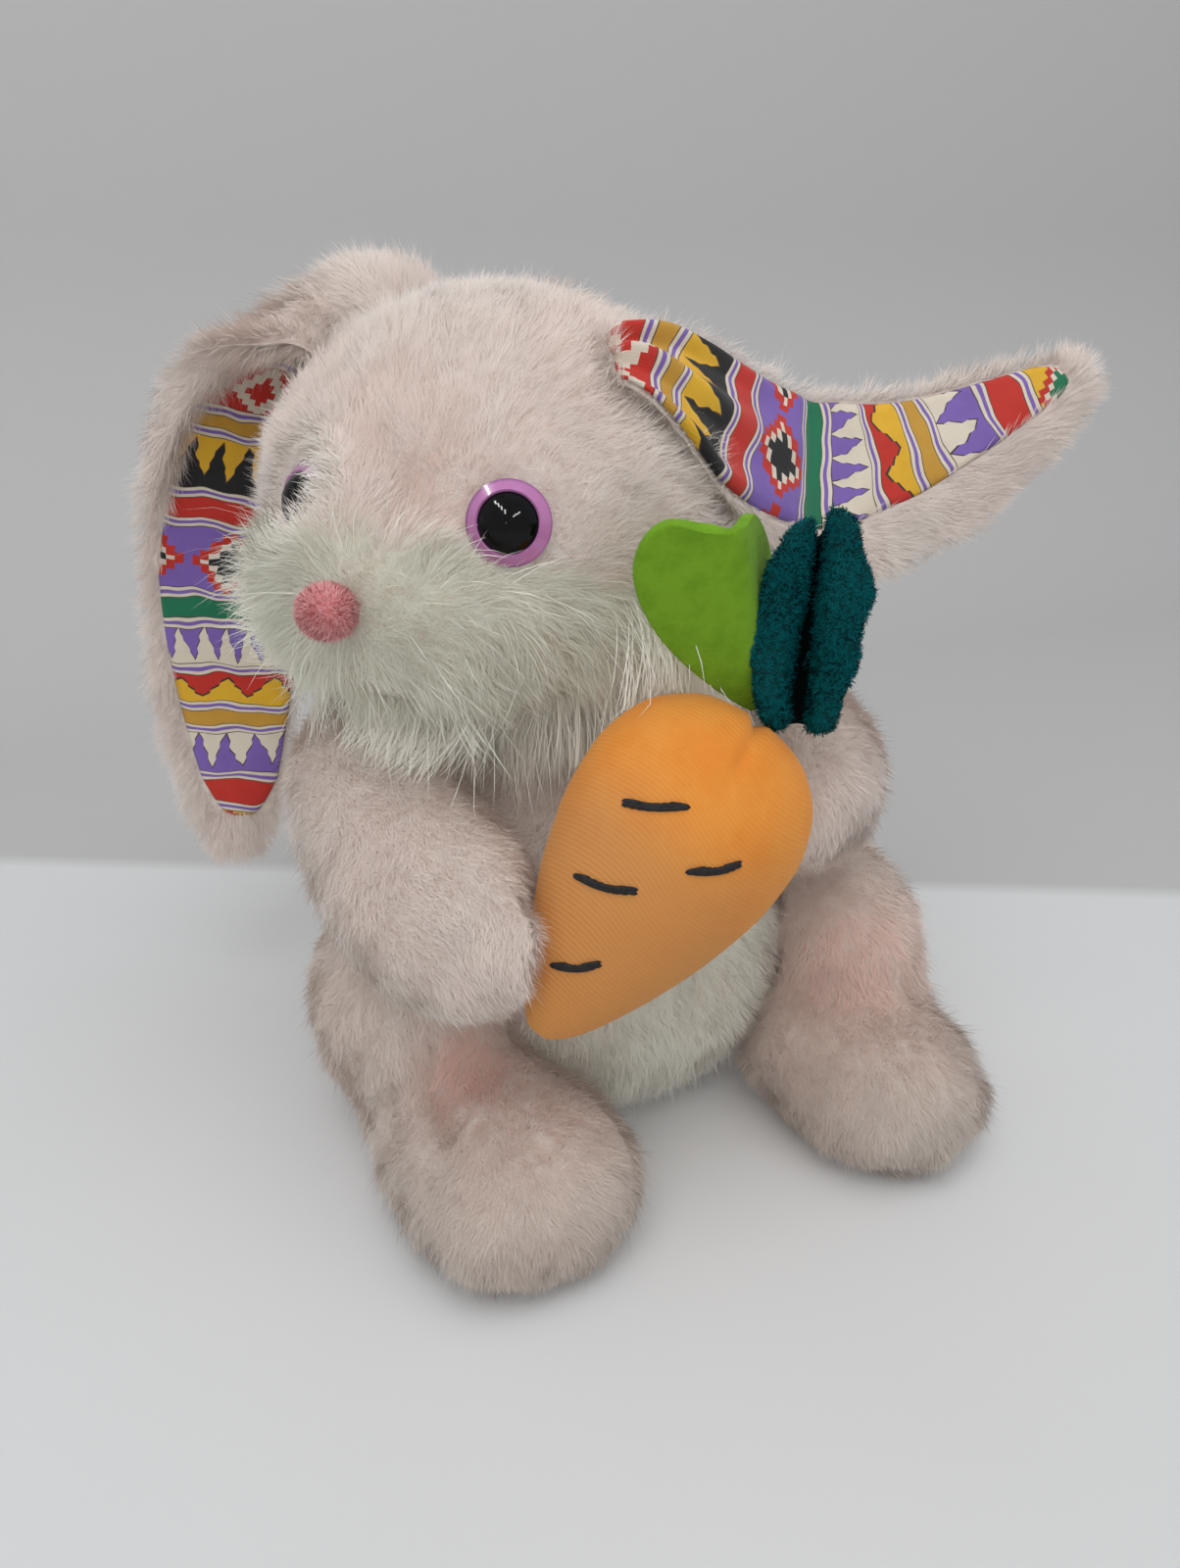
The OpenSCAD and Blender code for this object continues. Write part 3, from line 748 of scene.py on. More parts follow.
def make_nap_group():
    """Cloudy lighter and darker patches, as brushed cloth shows, and a fine fibrous height."""
    tree, given, gives = new_group(
        "brushed nap", "Height", Color=(0.8, 0.8, 0.8), Shade=(0.6, 0.6, 0.6), Patch=60.0, Share=0.4, Fibre=900.0,
    )
    place = add_node(tree, "TexCoord", "Object")
    patch = add_node(tree, "TexNoise", Vector=place, Scale=given["Patch"], Detail=3.0, Roughness=0.6)
    share = patch.ramp(0.42, 4.0) * given["Share"]
    feed(tree, gives["Color"], blend_colour(tree, share, given["Color"], given["Shade"]))
    fibre = add_node(tree, "TexNoise", Vector=place, Scale=given["Fibre"], Detail=4.0, Roughness=0.7)
    feed(tree, gives["Height"], fibre)
    return tree


nap = make_nap_group()


def brushed(tree, colour, shade, patch, share, fibre):
    """The colour and the height of a brushed nap: scale and share of its shaded patches, and scale of its fibres."""
    return use_group(tree, nap, Color=colour, Shade=shade, Patch=patch, Share=share, Fibre=fibre)


PRINT_OUTLINE, PRINT_LINE = (0.06, 0.035, 0.03), 0.35 * MM
RED, GOLD, INK, GREEN = (0.60, 0.028, 0.016), (0.83, 0.47, 0.025), (0.012, 0.011, 0.013), (0.006, 0.19, 0.085)
LILAC, CREAM, OCHRE = (0.22, 0.13, 0.48), (0.80, 0.71, 0.58), (0.62, 0.33, 0.04)
DIAMOND_PALE = (0.80, 0.70, 0.58)
# Each band of the print: length in millimetres, kind, and for a saw edge its ground, figure, pitch and depth,
# for diamonds their ground, ring, heart and pitch
BANDS = (
    (15, "saw", INK, GOLD, 10, 0.9), (8, "plain", GREEN), (17, "diamond", RED, CREAM, RED, 19),
    (7, "plain", OCHRE), (18, "saw", GOLD, INK, 8, 0.7), (10, "plain", RED),
    (22, "diamond", LILAC, RED, INK, 26), (9, "plain", GREEN), (16, "saw", LILAC, CREAM, 7, 0.9),
    (12, "saw", RED, GOLD, 14, 0.5), (8, "plain", OCHRE), (17, "saw", CREAM, LILAC, 9, 0.8),
    (11, "plain", RED), (18, "diamond", GOLD, RED, GREEN, 22), (8, "plain", GREEN),
    (16, "saw", LILAC, RED, 8, 0.8), (12, "saw", GOLD, INK, 12, 0.6), (14, "plain", RED),
    (14, "diamond", LILAC, CREAM, RED, 16), (20, "saw", INK, GOLD, 9, 0.8), (14, "plain", RED),
)


def new_band_group(name, **inputs):
    """A group for one band of the print, with the place in it from 0 to 1, its length and a wave across it."""
    tree, given, gives = new_group(name, "Mask", Along=0.0, Across=0.0, Start=0.0, End=0.01, Pitch=0.03, **inputs)
    along, start, end = given["Along"], given["Start"], given["End"]
    feed(tree, gives["Mask"], (along > start) * (along < end))
    depth = end - start
    wave = (given["Across"] / given["Pitch"]).swing() * 2.0
    return tree, given, gives["Color"], (along - start) / depth, depth, wave


def make_saw_group():
    """A band with a ground and a figure that meet in a stepped and outlined saw edge."""
    tree, given, gives, local, depth, saw = new_band_group("serrated band", Depth=0.3, Ground=RED, Figure=GOLD)
    steps = 3.0
    saw = saw * 0.6 + math.floor(saw * steps) / steps * 0.4
    gap = local - ((saw - 0.5) * given["Depth"] + 0.5)
    line = (abs(gap) * depth < PRINT_LINE) * (given["Depth"] > 0.01)
    colour = blend_colour(tree, gap > 0.0, given["Ground"], given["Figure"])
    feed(tree, gives, blend_colour(tree, line, colour, PRINT_OUTLINE))
    return tree


def make_diamond_group():
    """A band with a row of stepped diamonds in three colours."""
    tree, given, gives, local, _, wide = new_band_group("stepped diamonds", Ground=LILAC, Ring=RED, Heart=INK)
    steps = 5.0
    reach = abs(local - 0.5) * 2.0 + round(wide * steps) / steps
    colour = given["Ground"]
    for size, inside in ((0.95, given["Ring"]), (0.66, DIAMOND_PALE), (0.50, given["Heart"])):
        colour = blend_colour(tree, reach < size, colour, inside)
    feed(tree, gives, colour)
    return tree


def make_print():
    saws, diamonds = make_saw_group(), make_diamond_group()
    material, tree, shader = new_material("printed_cotton", 0.72, Specular_IOR_Level=0.3, Sheen_Weight=0.15)
    place = add_node(tree, "UVMap", uv_map="cloth")
    x, y = first_two(tree, place)
    shift = (add_node(tree, "TexNoise", Vector=place, Scale=70.0, Detail=1.0) - 0.5) * 0.006
    along, across = x + shift, y + shift
    colour, start, ends = CREAM, 0.0, []
    for size, kind, ground, *rest in BANDS:
        end = start + size * MM
        if kind == "diamond":
            ring, heart, pitch = rest
            group, figure = diamonds, dict(Ring=ring, Heart=heart)
        else:
            other, pitch, depth = rest or (ground, 10, 0.0)
            group, figure = saws, dict(Figure=other, Depth=depth)
        band, mask = use_group(
            tree, group, Along=along, Across=across, Start=start, End=end, Pitch=pitch * MM, Ground=ground, **figure,
        )
        colour = blend_colour(tree, mask, colour, band)
        ends.append(end)
        start = end
    # Cream and lilac pinstripes with dark outlines between the bands
    for end in ends:
        far = abs(along - end)
        for reach, ink in ((1.65 * MM, PRINT_OUTLINE), (1.40 * MM, CREAM), (0.50 * MM, LILAC)):
            colour = blend_colour(tree, far < reach, colour, ink)
    worn = blend_colour(tree, 1.0, colour, (0.86, 0.84, 0.82), "MULTIPLY")
    colour, nap_height = brushed(tree, colour, worn, 120.0, 0.6, 1500.0)
    threads = 2200.0
    height = (x * threads).swing() + (y * threads).swing() + nap_height * 0.5
    dress(tree, shader, colour, height, 0.35, 0.0004)
    return material


def make_fibre(name, sheen, gloss):
    material, tree, shader = new_material(name, 0.7, Specular_IOR_Level=gloss, Sheen_Weight=sheen, Sheen_Roughness=0.5)
    tint = add_node(tree, "Attribute", "Color", attribute_name="tint")
    warm = blend_colour(tree, 0.22, tint, (0.92, 0.66, 0.60), "MULTIPLY")
    dress(tree, shader, brushed(tree, tint, warm, 34.0, 0.55, 400.0)[0])
    return material


def make_backing():
    material, tree, shader = new_material("pile_backing", 0.9, Specular_IOR_Level=0.2, Sheen_Weight=0.3)
    tint = add_node(tree, "Attribute", "Color", attribute_name="tint")
    dark = blend_colour(tree, 1.0, tint, (0.80, 0.68, 0.64), "MULTIPLY")
    dress(tree, shader, *brushed(tree, tint, dark, 250.0, 0.7, 900.0), 0.8, 0.001)
    return material


def make_velour():
    """Ribbed across the carrot, with painted shade in the grooves of the ribs, and duller and darker toward its lower
    end, which is painted shade too.
    """
    material, tree, shader = new_material(
        "orange_velour", 0.85, Specular_IOR_Level=0.2, Sheen_Weight=0.45, Sheen_Roughness=0.35,
        Sheen_Tint=(1.0, 0.62, 0.28),
    )
    colour, height = brushed(tree, (0.89, 0.335, 0.055), (0.84, 0.255, 0.025), 70.0, 0.6, 1400.0)
    down, _ = first_two(tree, add_node(tree, "UVMap", uv_map="rib"))
    rib = (down * 900.0).swing()
    # Painted shade: the colour darkens in the grooves between the ribs, where the relief is low.
    dark = blend_colour(tree, 1.0, colour, (0.88, 0.80, 0.72), "MULTIPLY")
    ribbed = blend_colour(tree, (0.5 - rib) * 0.55, colour, dark)
    dull = blend_colour(tree, 0.8, ribbed, (0.61, 0.275, 0.09))
    # Painted shade: duller and darker toward the lower end of the carrot.
    worn = add_node(tree, "Attribute", "Fac", attribute_name="worn")
    dress(tree, shader, blend_colour(tree, worn, ribbed, dull), rib * 1.2 + height, 0.38, 0.0006)
    return material


def make_felt(name, colour, shade, scale, sheen, depth=None):
    material, tree, shader = new_material(name, 0.92, Specular_IOR_Level=0.12, Sheen_Weight=sheen, Sheen_Roughness=0.4)
    colour, height = brushed(tree, colour, shade, scale, 0.8, 1100.0)
    if depth:
        # With a depth, the colour is multiplied by that colour attribute, which holds painted shade.
        shadow = add_node(tree, "Attribute", "Color", attribute_name=depth)
        colour = blend_colour(tree, 1.0, colour, shadow, "MULTIPLY")
    dress(tree, shader, colour, height, 0.7, 0.0008)
    return material


def make_thread():
    material, tree, shader = new_material("stitch_thread", 0.7, Specular_IOR_Level=0.2, Sheen_Weight=0.05)
    cloth = brushed(tree, (0.022, 0.020, 0.021), (0.006, 0.005, 0.006), 800.0, 0.8, 2500.0)
    dress(tree, shader, *cloth, 0.5, 0.0002)
    return material


def make_plastic(name, colour, shade, roughness, patch=500.0, share=0.35, middle=None, **sockets):
    """Smooth plastic with a faint cloudiness. With a middle it is an iris, which darkens to a thin rim around it."""
    material, tree, shader = new_material(name, roughness, **sockets)
    colour, height = brushed(tree, colour, shade, patch, share, 2200.0)
    if middle is not None:
        reach = tree.nodes.new("ShaderNodeVectorMath")
        reach.operation = "DISTANCE"
        feed(tree, reach.inputs[0], add_node(tree, "TexCoord", "Object"))
        feed(tree, reach.inputs[1], middle)
        rim = Signal(tree, reach.outputs["Value"]).ramp(9.4 * MM, 900.0)
        colour = blend_colour(tree, rim, colour, (0.20, 0.05, 0.19))
    dress(tree, shader, colour)
    feed(tree, shader.inputs["Roughness"], height * 0.06 + (roughness - 0.03))
    return material


pile_fibre = make_fibre("pile_fibre", 0.2, 0.2)
fleece_fibre = make_fibre("fleece_fibre", 0.0, 0.04)
pile_backing = make_backing()
printed_cotton = make_print()
orange_velour = make_velour()
lime_felt = make_felt("lime_felt", (0.205, 0.425, 0.024), (0.15, 0.335, 0.015), 160.0, 0.08)
teal_fleece = make_felt("teal_fleece", (0.002, 0.055, 0.062), (0.0006, 0.020, 0.024), 260.0, 0.0, "depth")
stitch_thread = make_thread()
pupil_plastic = make_plastic(
    "black_plastic", (0.002, 0.002, 0.0025), (0.004, 0.004, 0.0045), 0.06, Specular_IOR_Level=0.2,
)
washer_plastic = make_plastic(
    "white_plastic", (0.80, 0.80, 0.78), (0.70, 0.70, 0.68), 0.4, Specular_IOR_Level=0.5,
)


# Bags: the body that each rides on, its solids, how full it is and how it is woven

BAGS = {
    "body": ("body", ["body_skin", "tummy_panel", "body_stuffing"], 0.85, {}),
    "head": ("head", ["head_skin", "muzzle_panel", "head_stuffing"], 0.9, dict(voxel=4.0)),
    "carrot": ("body", ["carrot_front", "carrot_back", "carrot_stuffing"], 0.85, dict(voxel=3.5, cap=1.6, inset=0.8)),
    "tail": ("body", ["tail"], 0.7, dict(voxel=3.0, cap=1.0, inset=0.8)),
    "nose": ("head", ["nose"], 0.8, dict(voxel=1.2, cap=0.4, inset=0.3, rounds=6)),
}
for limb, fill in (("arm", 0.75), ("leg", 0.8)):
    for side in SIDES:
        name = f"{side}_{limb}"
        BAGS[name] = (name, [name + "_skin", name + "_stuffing"], fill, dict(voxel=4.0))

bags = {}
for name, (body, nodes, fill, weave) in BAGS.items():
    bag = bags[name] = stuffed_bag(name + "_bag", nodes, **weave)
    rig.ride(bag, body)
    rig.replaces(bag, *nodes)
    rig.padded(bag, fill)
body_bag, head_bag, carrot_bag, tail_bag, nose_bag = (bags[n] for n in ("body", "head", "carrot", "tail", "nose"))
arms, legs = ([bags[f"{side}_{limb}"] for side in SIDES] for limb in ("arm", "leg"))


# Carrot: a sewn seam, ribs across it and embroidered dashes

def carrot_frame():
    axis = unit(CARROT_TIP - CARROT_TOP)
    side = unit(np.array([1.0, 0, 0]) - axis * axis[0])
    front = np.cross(axis, side)
    across = side * math.cos(CARROT_SEAM) + front * math.sin(CARROT_SEAM)
    return axis, across, np.cross(axis, across)


def dress_carrot():
    co = points_of(carrot_bag.data)
    down, lean, off = ((co - CARROT_TOP) @ way for way in carrot_frame())
    depth = (0.04 + 1.8 * (1 - smooth_step(down, 0, 30 * MM))) * MM * np.exp(-(off / (1.7 * MM)) ** 2)
    pucker = 1 + 0.3 * np.sin(down / (1.6 * MM))
    swell(carrot_bag, -depth * pucker)
    tilt = 0.05 + 0.2 * np.tanh(off / (12 * MM))
    lay_map(carrot_bag, "rib", (down + lean * tilt, off))
    # Painted shade: a share that rises toward the lower end of the carrot, where the velour is dulled.
    worn = smooth_step(down + 12 * MM * drift(co, 14 * MM, 2.0), 16 * MM, 62 * MM)
    paint(carrot_bag, np.repeat(worn[:, None], 3, 1), "worn")
    carrot_bag.data.materials.append(orange_velour)
    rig.slot(carrot_bag, "orange_velour")


def dash_lines():
    """The middle, direction and half length of each dash of the frame."""
    bm = bmesh.new()
    bm.from_mesh(frame["nodes"]["carrot_stitches"].data)
    bmesh.ops.remove_doubles(bm, verts=bm.verts, dist=0.02 * MM)
    joined = bpy.data.meshes.new("joined_dashes")
    bm.to_mesh(joined)
    bm.free()
    co, lines = points_of(joined), []
    for group in islands(joined)[:4]:
        part = co[group]
        middle = part.mean(0)
        way = unit(np.linalg.svd(part - middle)[2][0])
        lines.append((middle, way, np.abs((part - middle) @ way).max()))
    bpy.data.meshes.remove(joined)
    return lines


def embroider_carrot():
    """Each dash is a satin row: slim threads that lie along it and overlap like tiles."""
    tree = tree_of(carrot_bag)
    pairs, rings, sides = 7, 8, 8
    thread_half, thread_fat, thread_gap, sag = 2.6 * MM, 0.60 * MM, 0.28 * MM, mm(0, 0, 1.0)
    tube = grid_faces(rings + 1, sides, closed=True)
    tube += [tuple(range(sides))[::-1], tuple(range(rings * sides, (rings + 1) * sides))]
    verts, faces = [], []
    for middle, way, reach in dash_lines():
        for i in range(2 * pairs):
            k = (i // 2 + 0.5) / pairs * 2 - 1
            target = middle + way * (reach - 1.2 * MM) * k - sag * (1 - k * k)
            place, normal = (np.array(v) for v in tree.find_nearest(Vector(target))[:2])
            lay = unit(way - normal * (way @ normal))
            lay = unit(lay + np.cross(normal, lay) * (0.10 if i % 2 else -0.07))
            wide = np.cross(normal, lay)
            place = place + wide * (thread_gap if i % 2 else -thread_gap)
            faces += [tuple(len(verts) + corner for corner in face) for face in tube]
            for t in np.linspace(-1, 1, rings + 1):
                fat = thread_fat * math.sqrt(max(0.0, 1 - t ** 4)) + 0.04 * MM
                hump = 0.30 * MM * (1 - t * t)
                for a in np.linspace(0, 2 * math.pi, sides, endpoint=False):
                    round_it = wide * fat * math.cos(a) + normal * (hump + fat * 0.8 * math.sin(a))
                    verts.append(place + lay * t * thread_half + round_it)
    dashes = new_piece("carrot_dashes", verts, faces, stitch_thread)
    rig.ride(dashes, "body")
    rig.replaces(dashes, "carrot_stitches")
    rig.slot(dashes, "black_thread")


dress_carrot()
embroider_carrot()


# Leaves

def leaf_sheet(name, points, columns, thick, material):
    """A sheet through a grid of points, with its thickness and soft edges, and its area."""
    grid = np.asarray(points).reshape(-1, columns, 3)
    leaf = new_piece(name, points, grid_faces(len(grid), columns), material)
    reshape(leaf, "SOLIDIFY", thickness=thick, offset=0)
    reshape(leaf, "SUBSURF", levels=2)
    return leaf, sheet_area(grid)


def make_lime_leaf():
    """A felt heart on its point: one half flat to the front, the other bent back along the middle."""
    rows, half, long, wide, fall = 30, 10, 60, 45, 0.75
    bend, bend_run = math.radians(67), 4.0
    points = []
    for r in range(rows):
        a = math.pi * (0.03 + 0.965 * r / (rows - 1))
        x = max(1.0, wide / 2 * math.sin(a) ** (1.3 if a < math.pi / 2 else 0.75) * (1 - 0.45 * math.cos(a)) / 1.1)
        z = long * (1 - math.cos(a)) / 2 - 0.13 * long * max(0, -math.cos(a)) ** 40
        rib = 0.86 * long * r / (rows - 1)
        for c in range(-half, half + 1):
            k = abs(c) / half
            out, tall = x * k, rib + (z - rib) * k
            wave = 0.7 * math.sin(tall / 11 + 0.5) * k
            if c <= 0:
                points.append((-out, wave - 0.06 * out + 0.004 * out * out, tall))
                continue
            run = min(out, bend_run)
            turned = bend * run / bend_run
            x0, y0 = bend_run / bend * math.sin(turned), bend_run / bend * (1 - math.cos(turned))
            points.append((
                x0 + (out - run) * math.cos(bend), y0 + (out - run) * math.sin(bend) + wave,
                tall - fall * out * tall / long,
            ))
    points = turn_z(np.array(points) * MM, math.radians(-18))
    points = turn_y(turn_x(points, math.radians(12)), math.radians(-18)) + LIME_ROOT
    leaf, area = leaf_sheet("lime_felt_leaf", points, 2 * half + 1, 2.8 * MM, lime_felt)
    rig.ride(leaf, "lime_leaf")
    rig.replaces(leaf, "lime_leaf")
    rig.slot(leaf, "lime_felt")
    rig.sheet(leaf, flat=(wide * MM, long * MM), held="folded", area=area)
    return leaf


TEAL_TURN, TEAL_TIP_OVER = math.radians(31), math.radians(3)


def in_teal_fold(p):
    """1 at the foot of the gather between the two lips, 0 on the lips."""
    q = turn_z(turn_y(np.asarray(p) - TEAL_ROOT, -TEAL_TIP_OVER), TEAL_TURN)
    return (1 - smooth_step(-q[:, 1], 3 * MM, 9 * MM)) * (1 - smooth_step(np.abs(q[:, 0] + 2 * MM), 5 * MM, 8 * MM))


def make_teal_leaf():
    """A fleece blade gathered along its middle, so that two lips stand forward and curl apart."""
    rows, half, long, reach, curl_steps = 28, 9, 58, 17.5, 24
    points = []
    for r in range(rows):
        t = r / (rows - 1)
        share = math.sin(math.pi * (0.13 + 0.7 * t)) ** 0.5 * (0.7 if r in (0, rows - 1) else 1)
        for c in range(-half, half + 1):
            k = abs(c) / half
            side = math.copysign(1, c) if c else 0.0
            wave = 1 + 0.06 * math.sin(8 * t + 2 * side) + 0.05 * math.sin(19 * t + side)
            run = reach * share * wave * k
            x, y = (3.4 + 0.6 * math.sin(4 * t + 1)) * min(1, 5 * k), 0.0
            for step in range(curl_steps):
                q = (step + 0.5) / curl_steps * run
                curl = math.radians(88 - 92 * smooth_step(q, 5.0, 14.0))
                x += math.cos(curl) * run / curl_steps
                y -= math.sin(curl) * run / curl_steps
            tall = long * (0.07 + 0.93 * t) * (0.87 + 0.13 * min(1, 1.8 * k)) * (0.95 if side < 0 else 1)
            points.append((side * x - 2.0, y + 0.8 * math.sin(6 * t + side), tall))
    points = turn_y(turn_z(np.array(points) * MM, -TEAL_TURN), TEAL_TIP_OVER) + TEAL_ROOT
    leaf, area = leaf_sheet("teal_fleece_leaf", points, 2 * half + 1, 3.8 * MM, teal_fleece)
    # Painted shade: the fleece darkens to almost black at the foot of the gather between the lips.
    paint(leaf, np.repeat(1 - 0.94 * in_teal_fold(points_of(leaf.data))[:, None], 3, 1), "depth")
    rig.ride(leaf, "teal_leaf")
    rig.replaces(leaf, "teal_leaf")
    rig.slot(leaf, "teal_fleece")
    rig.sheet(leaf, flat=(2 * reach * MM, long * MM), held="folded", area=area)
    return leaf


lime_leaf = make_lime_leaf()
teal_leaf = make_teal_leaf()


# Ears: a pile back and a printed lining on one curved spine. Places on an ear are t along it and s across it

LINING_EDGE, LINING_END = -0.95, 0.962
EARS = {
    "right": {
        "spine": mm([-38, 18, 36], [-52, 16, 74], [-94, 4, 80], [-108, -8, -30], [-105, -17, -127]),
        "across": np.array([[0, -1, 0], [0, -1, 0], [-0.7, -0.8, 0], [-1, -0.56, 0]], float),
        "hem": (
            (0.36, 0.45, 0.50, 0.54, 0.58, 0.63, 0.68, 0.75, 0.80, 0.85, 0.90, 0.95, 1.0),
            (0.40, 0.42, 0.48, 0.57, 0.66, 0.74, 0.80, 0.86, 0.81, 0.73, 0.62, 0.47, 0.30),
        ),
        "lining from": 0.37, "print from": 0.0, "crease": 0.0, "gather": 0.0, "roll": 7 * MM, "hood": 26 * MM,
    },
    "left": {
        "spine": mm([41, -18, 42], [70, 9, 42], [62, 35, -34], [115, 67, 22], [135, 82, 34]),
        "across": np.array([[0.18, -0.3, -0.19], [0.2, -0.96, -0.6], [0.09, 0.11, -0.97], [0.11, -0.29, -0.56]], float),
        "hem": (
            (0.0, 0.22, 0.25, 0.3, 0.4, 0.5, 0.6, 0.7, 0.8, 1.0),
            (1.0, 1.0, 0.95, 0.85, 0.66, 0.51, 0.39, 0.31, 0.26, 0.25),
        ),
        "lining from": 0.0, "print from": 0.03, "crease": 3.5 * MM, "gather": 3.6 * MM, "roll": 0.0, "hood": 0.0,
    },
}


def bezier(points, t):
    t = np.asarray(t, float)[..., None]
    layers = [np.broadcast_to(p, t.shape[:-1] + (len(p),)) for p in points]
    while len(layers) > 1:
        layers = [a + (b - a) * t for a, b in zip(layers, layers[1:])]
    return layers[0]


def ear_half(t):
    return EAR_WIDTH / 2 * np.sin(np.pi * (0.14 + 0.86 * t)) ** 0.42


def ear_hem(side, t):
    """Where the lining ends across the ear, at the border of pile."""
    return np.interp(t, *EARS[side]["hem"])


def ear_frame(side, t):
    """Along the ear, across it with its share of the full width, and out of its face."""
    ear = EARS[side]
    run = unit(bezier(ear["spine"], np.minimum(1, t + 0.01)) - bezier(ear["spine"], np.maximum(0, t - 0.01)))
    wide = bezier(ear["across"], t)
    wide = wide - run * np.sum(wide * run, -1, keepdims=True)
    return run, wide, unit(np.cross(wide, run))


def ear_point(side, t, s, h):
    """The place at a height over the middle of the ear's cloth, which a crease crosses."""
    t, s, h = np.broadcast_arrays(t, s, h)
    wide, out = ear_frame(side, t)[1:]
    h = h - EARS[side]["crease"] * np.exp(-((t - 0.47) / 0.05) ** 2) * np.cos(s * 0.8)
    q = bezier(EARS[side]["spine"], t) + wide * (s * ear_half(t))[..., None] + out * h[..., None]
    return from_head(q)


def ear_hood(side, t, s):
    """How far the top of the ear turns over toward its face."""
    return EARS[side]["hood"] * plateau(t, 0.04, 0.18, 0.42, 0.57) * smooth_step(s, -0.2, 1.1) ** 1.2


def make_ear_back(side):
    """The pile cloth as a flat tube with a blunt tip, and where each of its points is: t, s and share of the face."""
    ring = 80
    t = np.concatenate([np.linspace(0.0, 0.90, 54), 0.90 + 0.096 * np.sin(np.linspace(0, np.pi / 2, 15))[1:]])
    a = np.linspace(0, 2 * np.pi, ring, endpoint=False)
    tt, aa = np.meshgrid(t, a, indexing="ij")
    s, face = np.cos(aa), np.sin(aa)
    h = face * EAR_THICK / 2 * (1 - 0.25 * s * s) + ear_hood(side, tt, s)
    hem = ear_hem(side, tt)
    beside = plateau(tt, 0.46, 0.54, 0.56, 0.74) * (face > 0)
    h += EARS[side]["roll"] * beside * plateau(s, hem - 0.02, hem + 0.16, hem + 0.16, 1.0)
    verts = ear_point(side, tt, s, h).reshape(-1, 3)
    faces = grid_faces(len(t), ring, closed=True)
    faces += [tuple(range(ring))[::-1], tuple(range(len(verts) - ring, len(verts)))]
    back = new_piece(side + "_ear_pile_cloth", verts, faces, pile_backing)
    bm = bmesh.new()
    bm.from_mesh(back.data)
    bmesh.ops.recalc_face_normals(bm, faces=bm.faces)
    bm.to_mesh(back.data)
    bm.free()
    back.data.shade_smooth()
    paint(back, PINK_ROOT)
    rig.ride(back, side + "_ear")
    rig.replaces(back, side + "_ear_back")
    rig.slot(back, "pink_pile")
    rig.padded(back, 0.3)
    return back, np.stack([tt.ravel(), s.ravel(), face.ravel()], 1)


def make_ear_lining(side):
    rows, columns, walk_steps = 170, 44, 200
    ear = EARS[side]
    first = ear["lining from"]
    r, k = np.meshgrid(np.linspace(0, 1, rows), np.linspace(0, 1, columns), indexing="ij")
    end = LINING_END - 0.035 * np.abs(2 * k - 1) ** 4
    tt = first + (end - first) * r
    ss = LINING_EDGE + (ear_hem(side, tt) - LINING_EDGE) * k
    wide = np.maximum(np.linalg.norm(ear_frame(side, tt)[1], axis=-1), 0.7)
    v = ss * ear_half(tt) * wide
    rim = np.sqrt(np.clip(np.minimum(k, 1 - k) / 0.07, 0, 1) * np.clip(np.minimum(r, 1 - r) / 0.02, 0, 1))
    soft = 0.5 * MM * drift(np.stack([tt * 0.2, v, v * 0], -1), 9 * MM)
    folds = ear["gather"] * np.exp(-(tt / 0.26) ** 2) * np.sin(13 * k + 6 * tt)
    face = EAR_THICK / 2 * (1 - 0.55 * ss * ss)
    h = face + ear_hood(side, tt, ss) + 0.3 * MM + rim * (0.8 * MM + np.maximum(soft + folds, -0.9 * MM))
    grid = ear_point(side, tt, ss, h)
    lining = new_piece(side + "_ear_print_cloth", grid.reshape(-1, 3), grid_faces(rows, columns), printed_cotton)
    walk = np.linspace(0, 1, walk_steps)
    middle = ear_point(side, walk, 0.0, 0.0)
    run = np.concatenate([[0], np.cumsum(np.linalg.norm(np.diff(middle, axis=0), axis=1))])
    u = np.interp(tt, walk, run) - np.interp(first, walk, run) + ear["print from"]
    lay_map(lining, "cloth", (u.ravel(), v.ravel()))
    reshape(lining, "SOLIDIFY", thickness=0.5 * MM, offset=-1)
    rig.ride(lining, side + "_ear")
    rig.replaces(lining, side + "_ear_lining")
    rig.slot(lining, "printed_cotton")
    area, long = sheet_area(grid), float(u.max() - u.min())
    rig.sheet(lining, flat=(area / long, long), held="laid", area=area)
    return lining


ear_backs = {side: make_ear_back(side) for side in SIDES}
ear_linings = {side: make_ear_lining(side) for side in SIDES}


# Eyes: the moulded pieces of the frame with their plastics

eye_places = {}
for side in SIDES:
    middle, inner = (np.array(sum(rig.box(side + part), Vector())) / 2 for part in ("_pupil", "_eye_washer"))
    eye_places[side] = (middle, unit(middle - inner))
    iris_plastic = make_plastic(
        side + "_orchid_plastic", (0.54, 0.20, 0.45), (0.44, 0.14, 0.37), 0.26, 420.0, 0.4, middle,
        Coat_Weight=0.5, Coat_Roughness=0.04,
    )
    for part, plastic in (("iris", iris_plastic), ("pupil", pupil_plastic), ("eye_washer", washer_plastic)):
        node = frame["nodes"][f"{side}_{part}"]
        node.data.materials.clear()
        node.data.materials.append(plastic)


# Pile over the bags: where it grows, how it lies and how long it is. Places on the face are in the head's frame

def cream_share(p):
    """1 on the cream muzzle cloth, 0 on the pink cloth of the head."""
    q, slope = in_head(p), math.radians(20)
    lift = (q - mm(0, -59, 2)) @ np.array([0, math.sin(slope), math.cos(slope)])
    return 1 - smooth_step(lift + 2.2 * MM * drift(p, 7 * MM), -3 * MM, 3.5 * MM)


def tummy_share(p):
    """1 on the cream oval of the tummy, 0 on the pink cloth of the body."""
    reach = ((p[:, 0] + 7.2 * MM) / (38 * MM)) ** 2 + ((p[:, 2] - 49 * MM) / (46 * MM)) ** 2
    return (1 - smooth_step(reach, 0.9, 1.08)) * (p[:, 1] < 0)


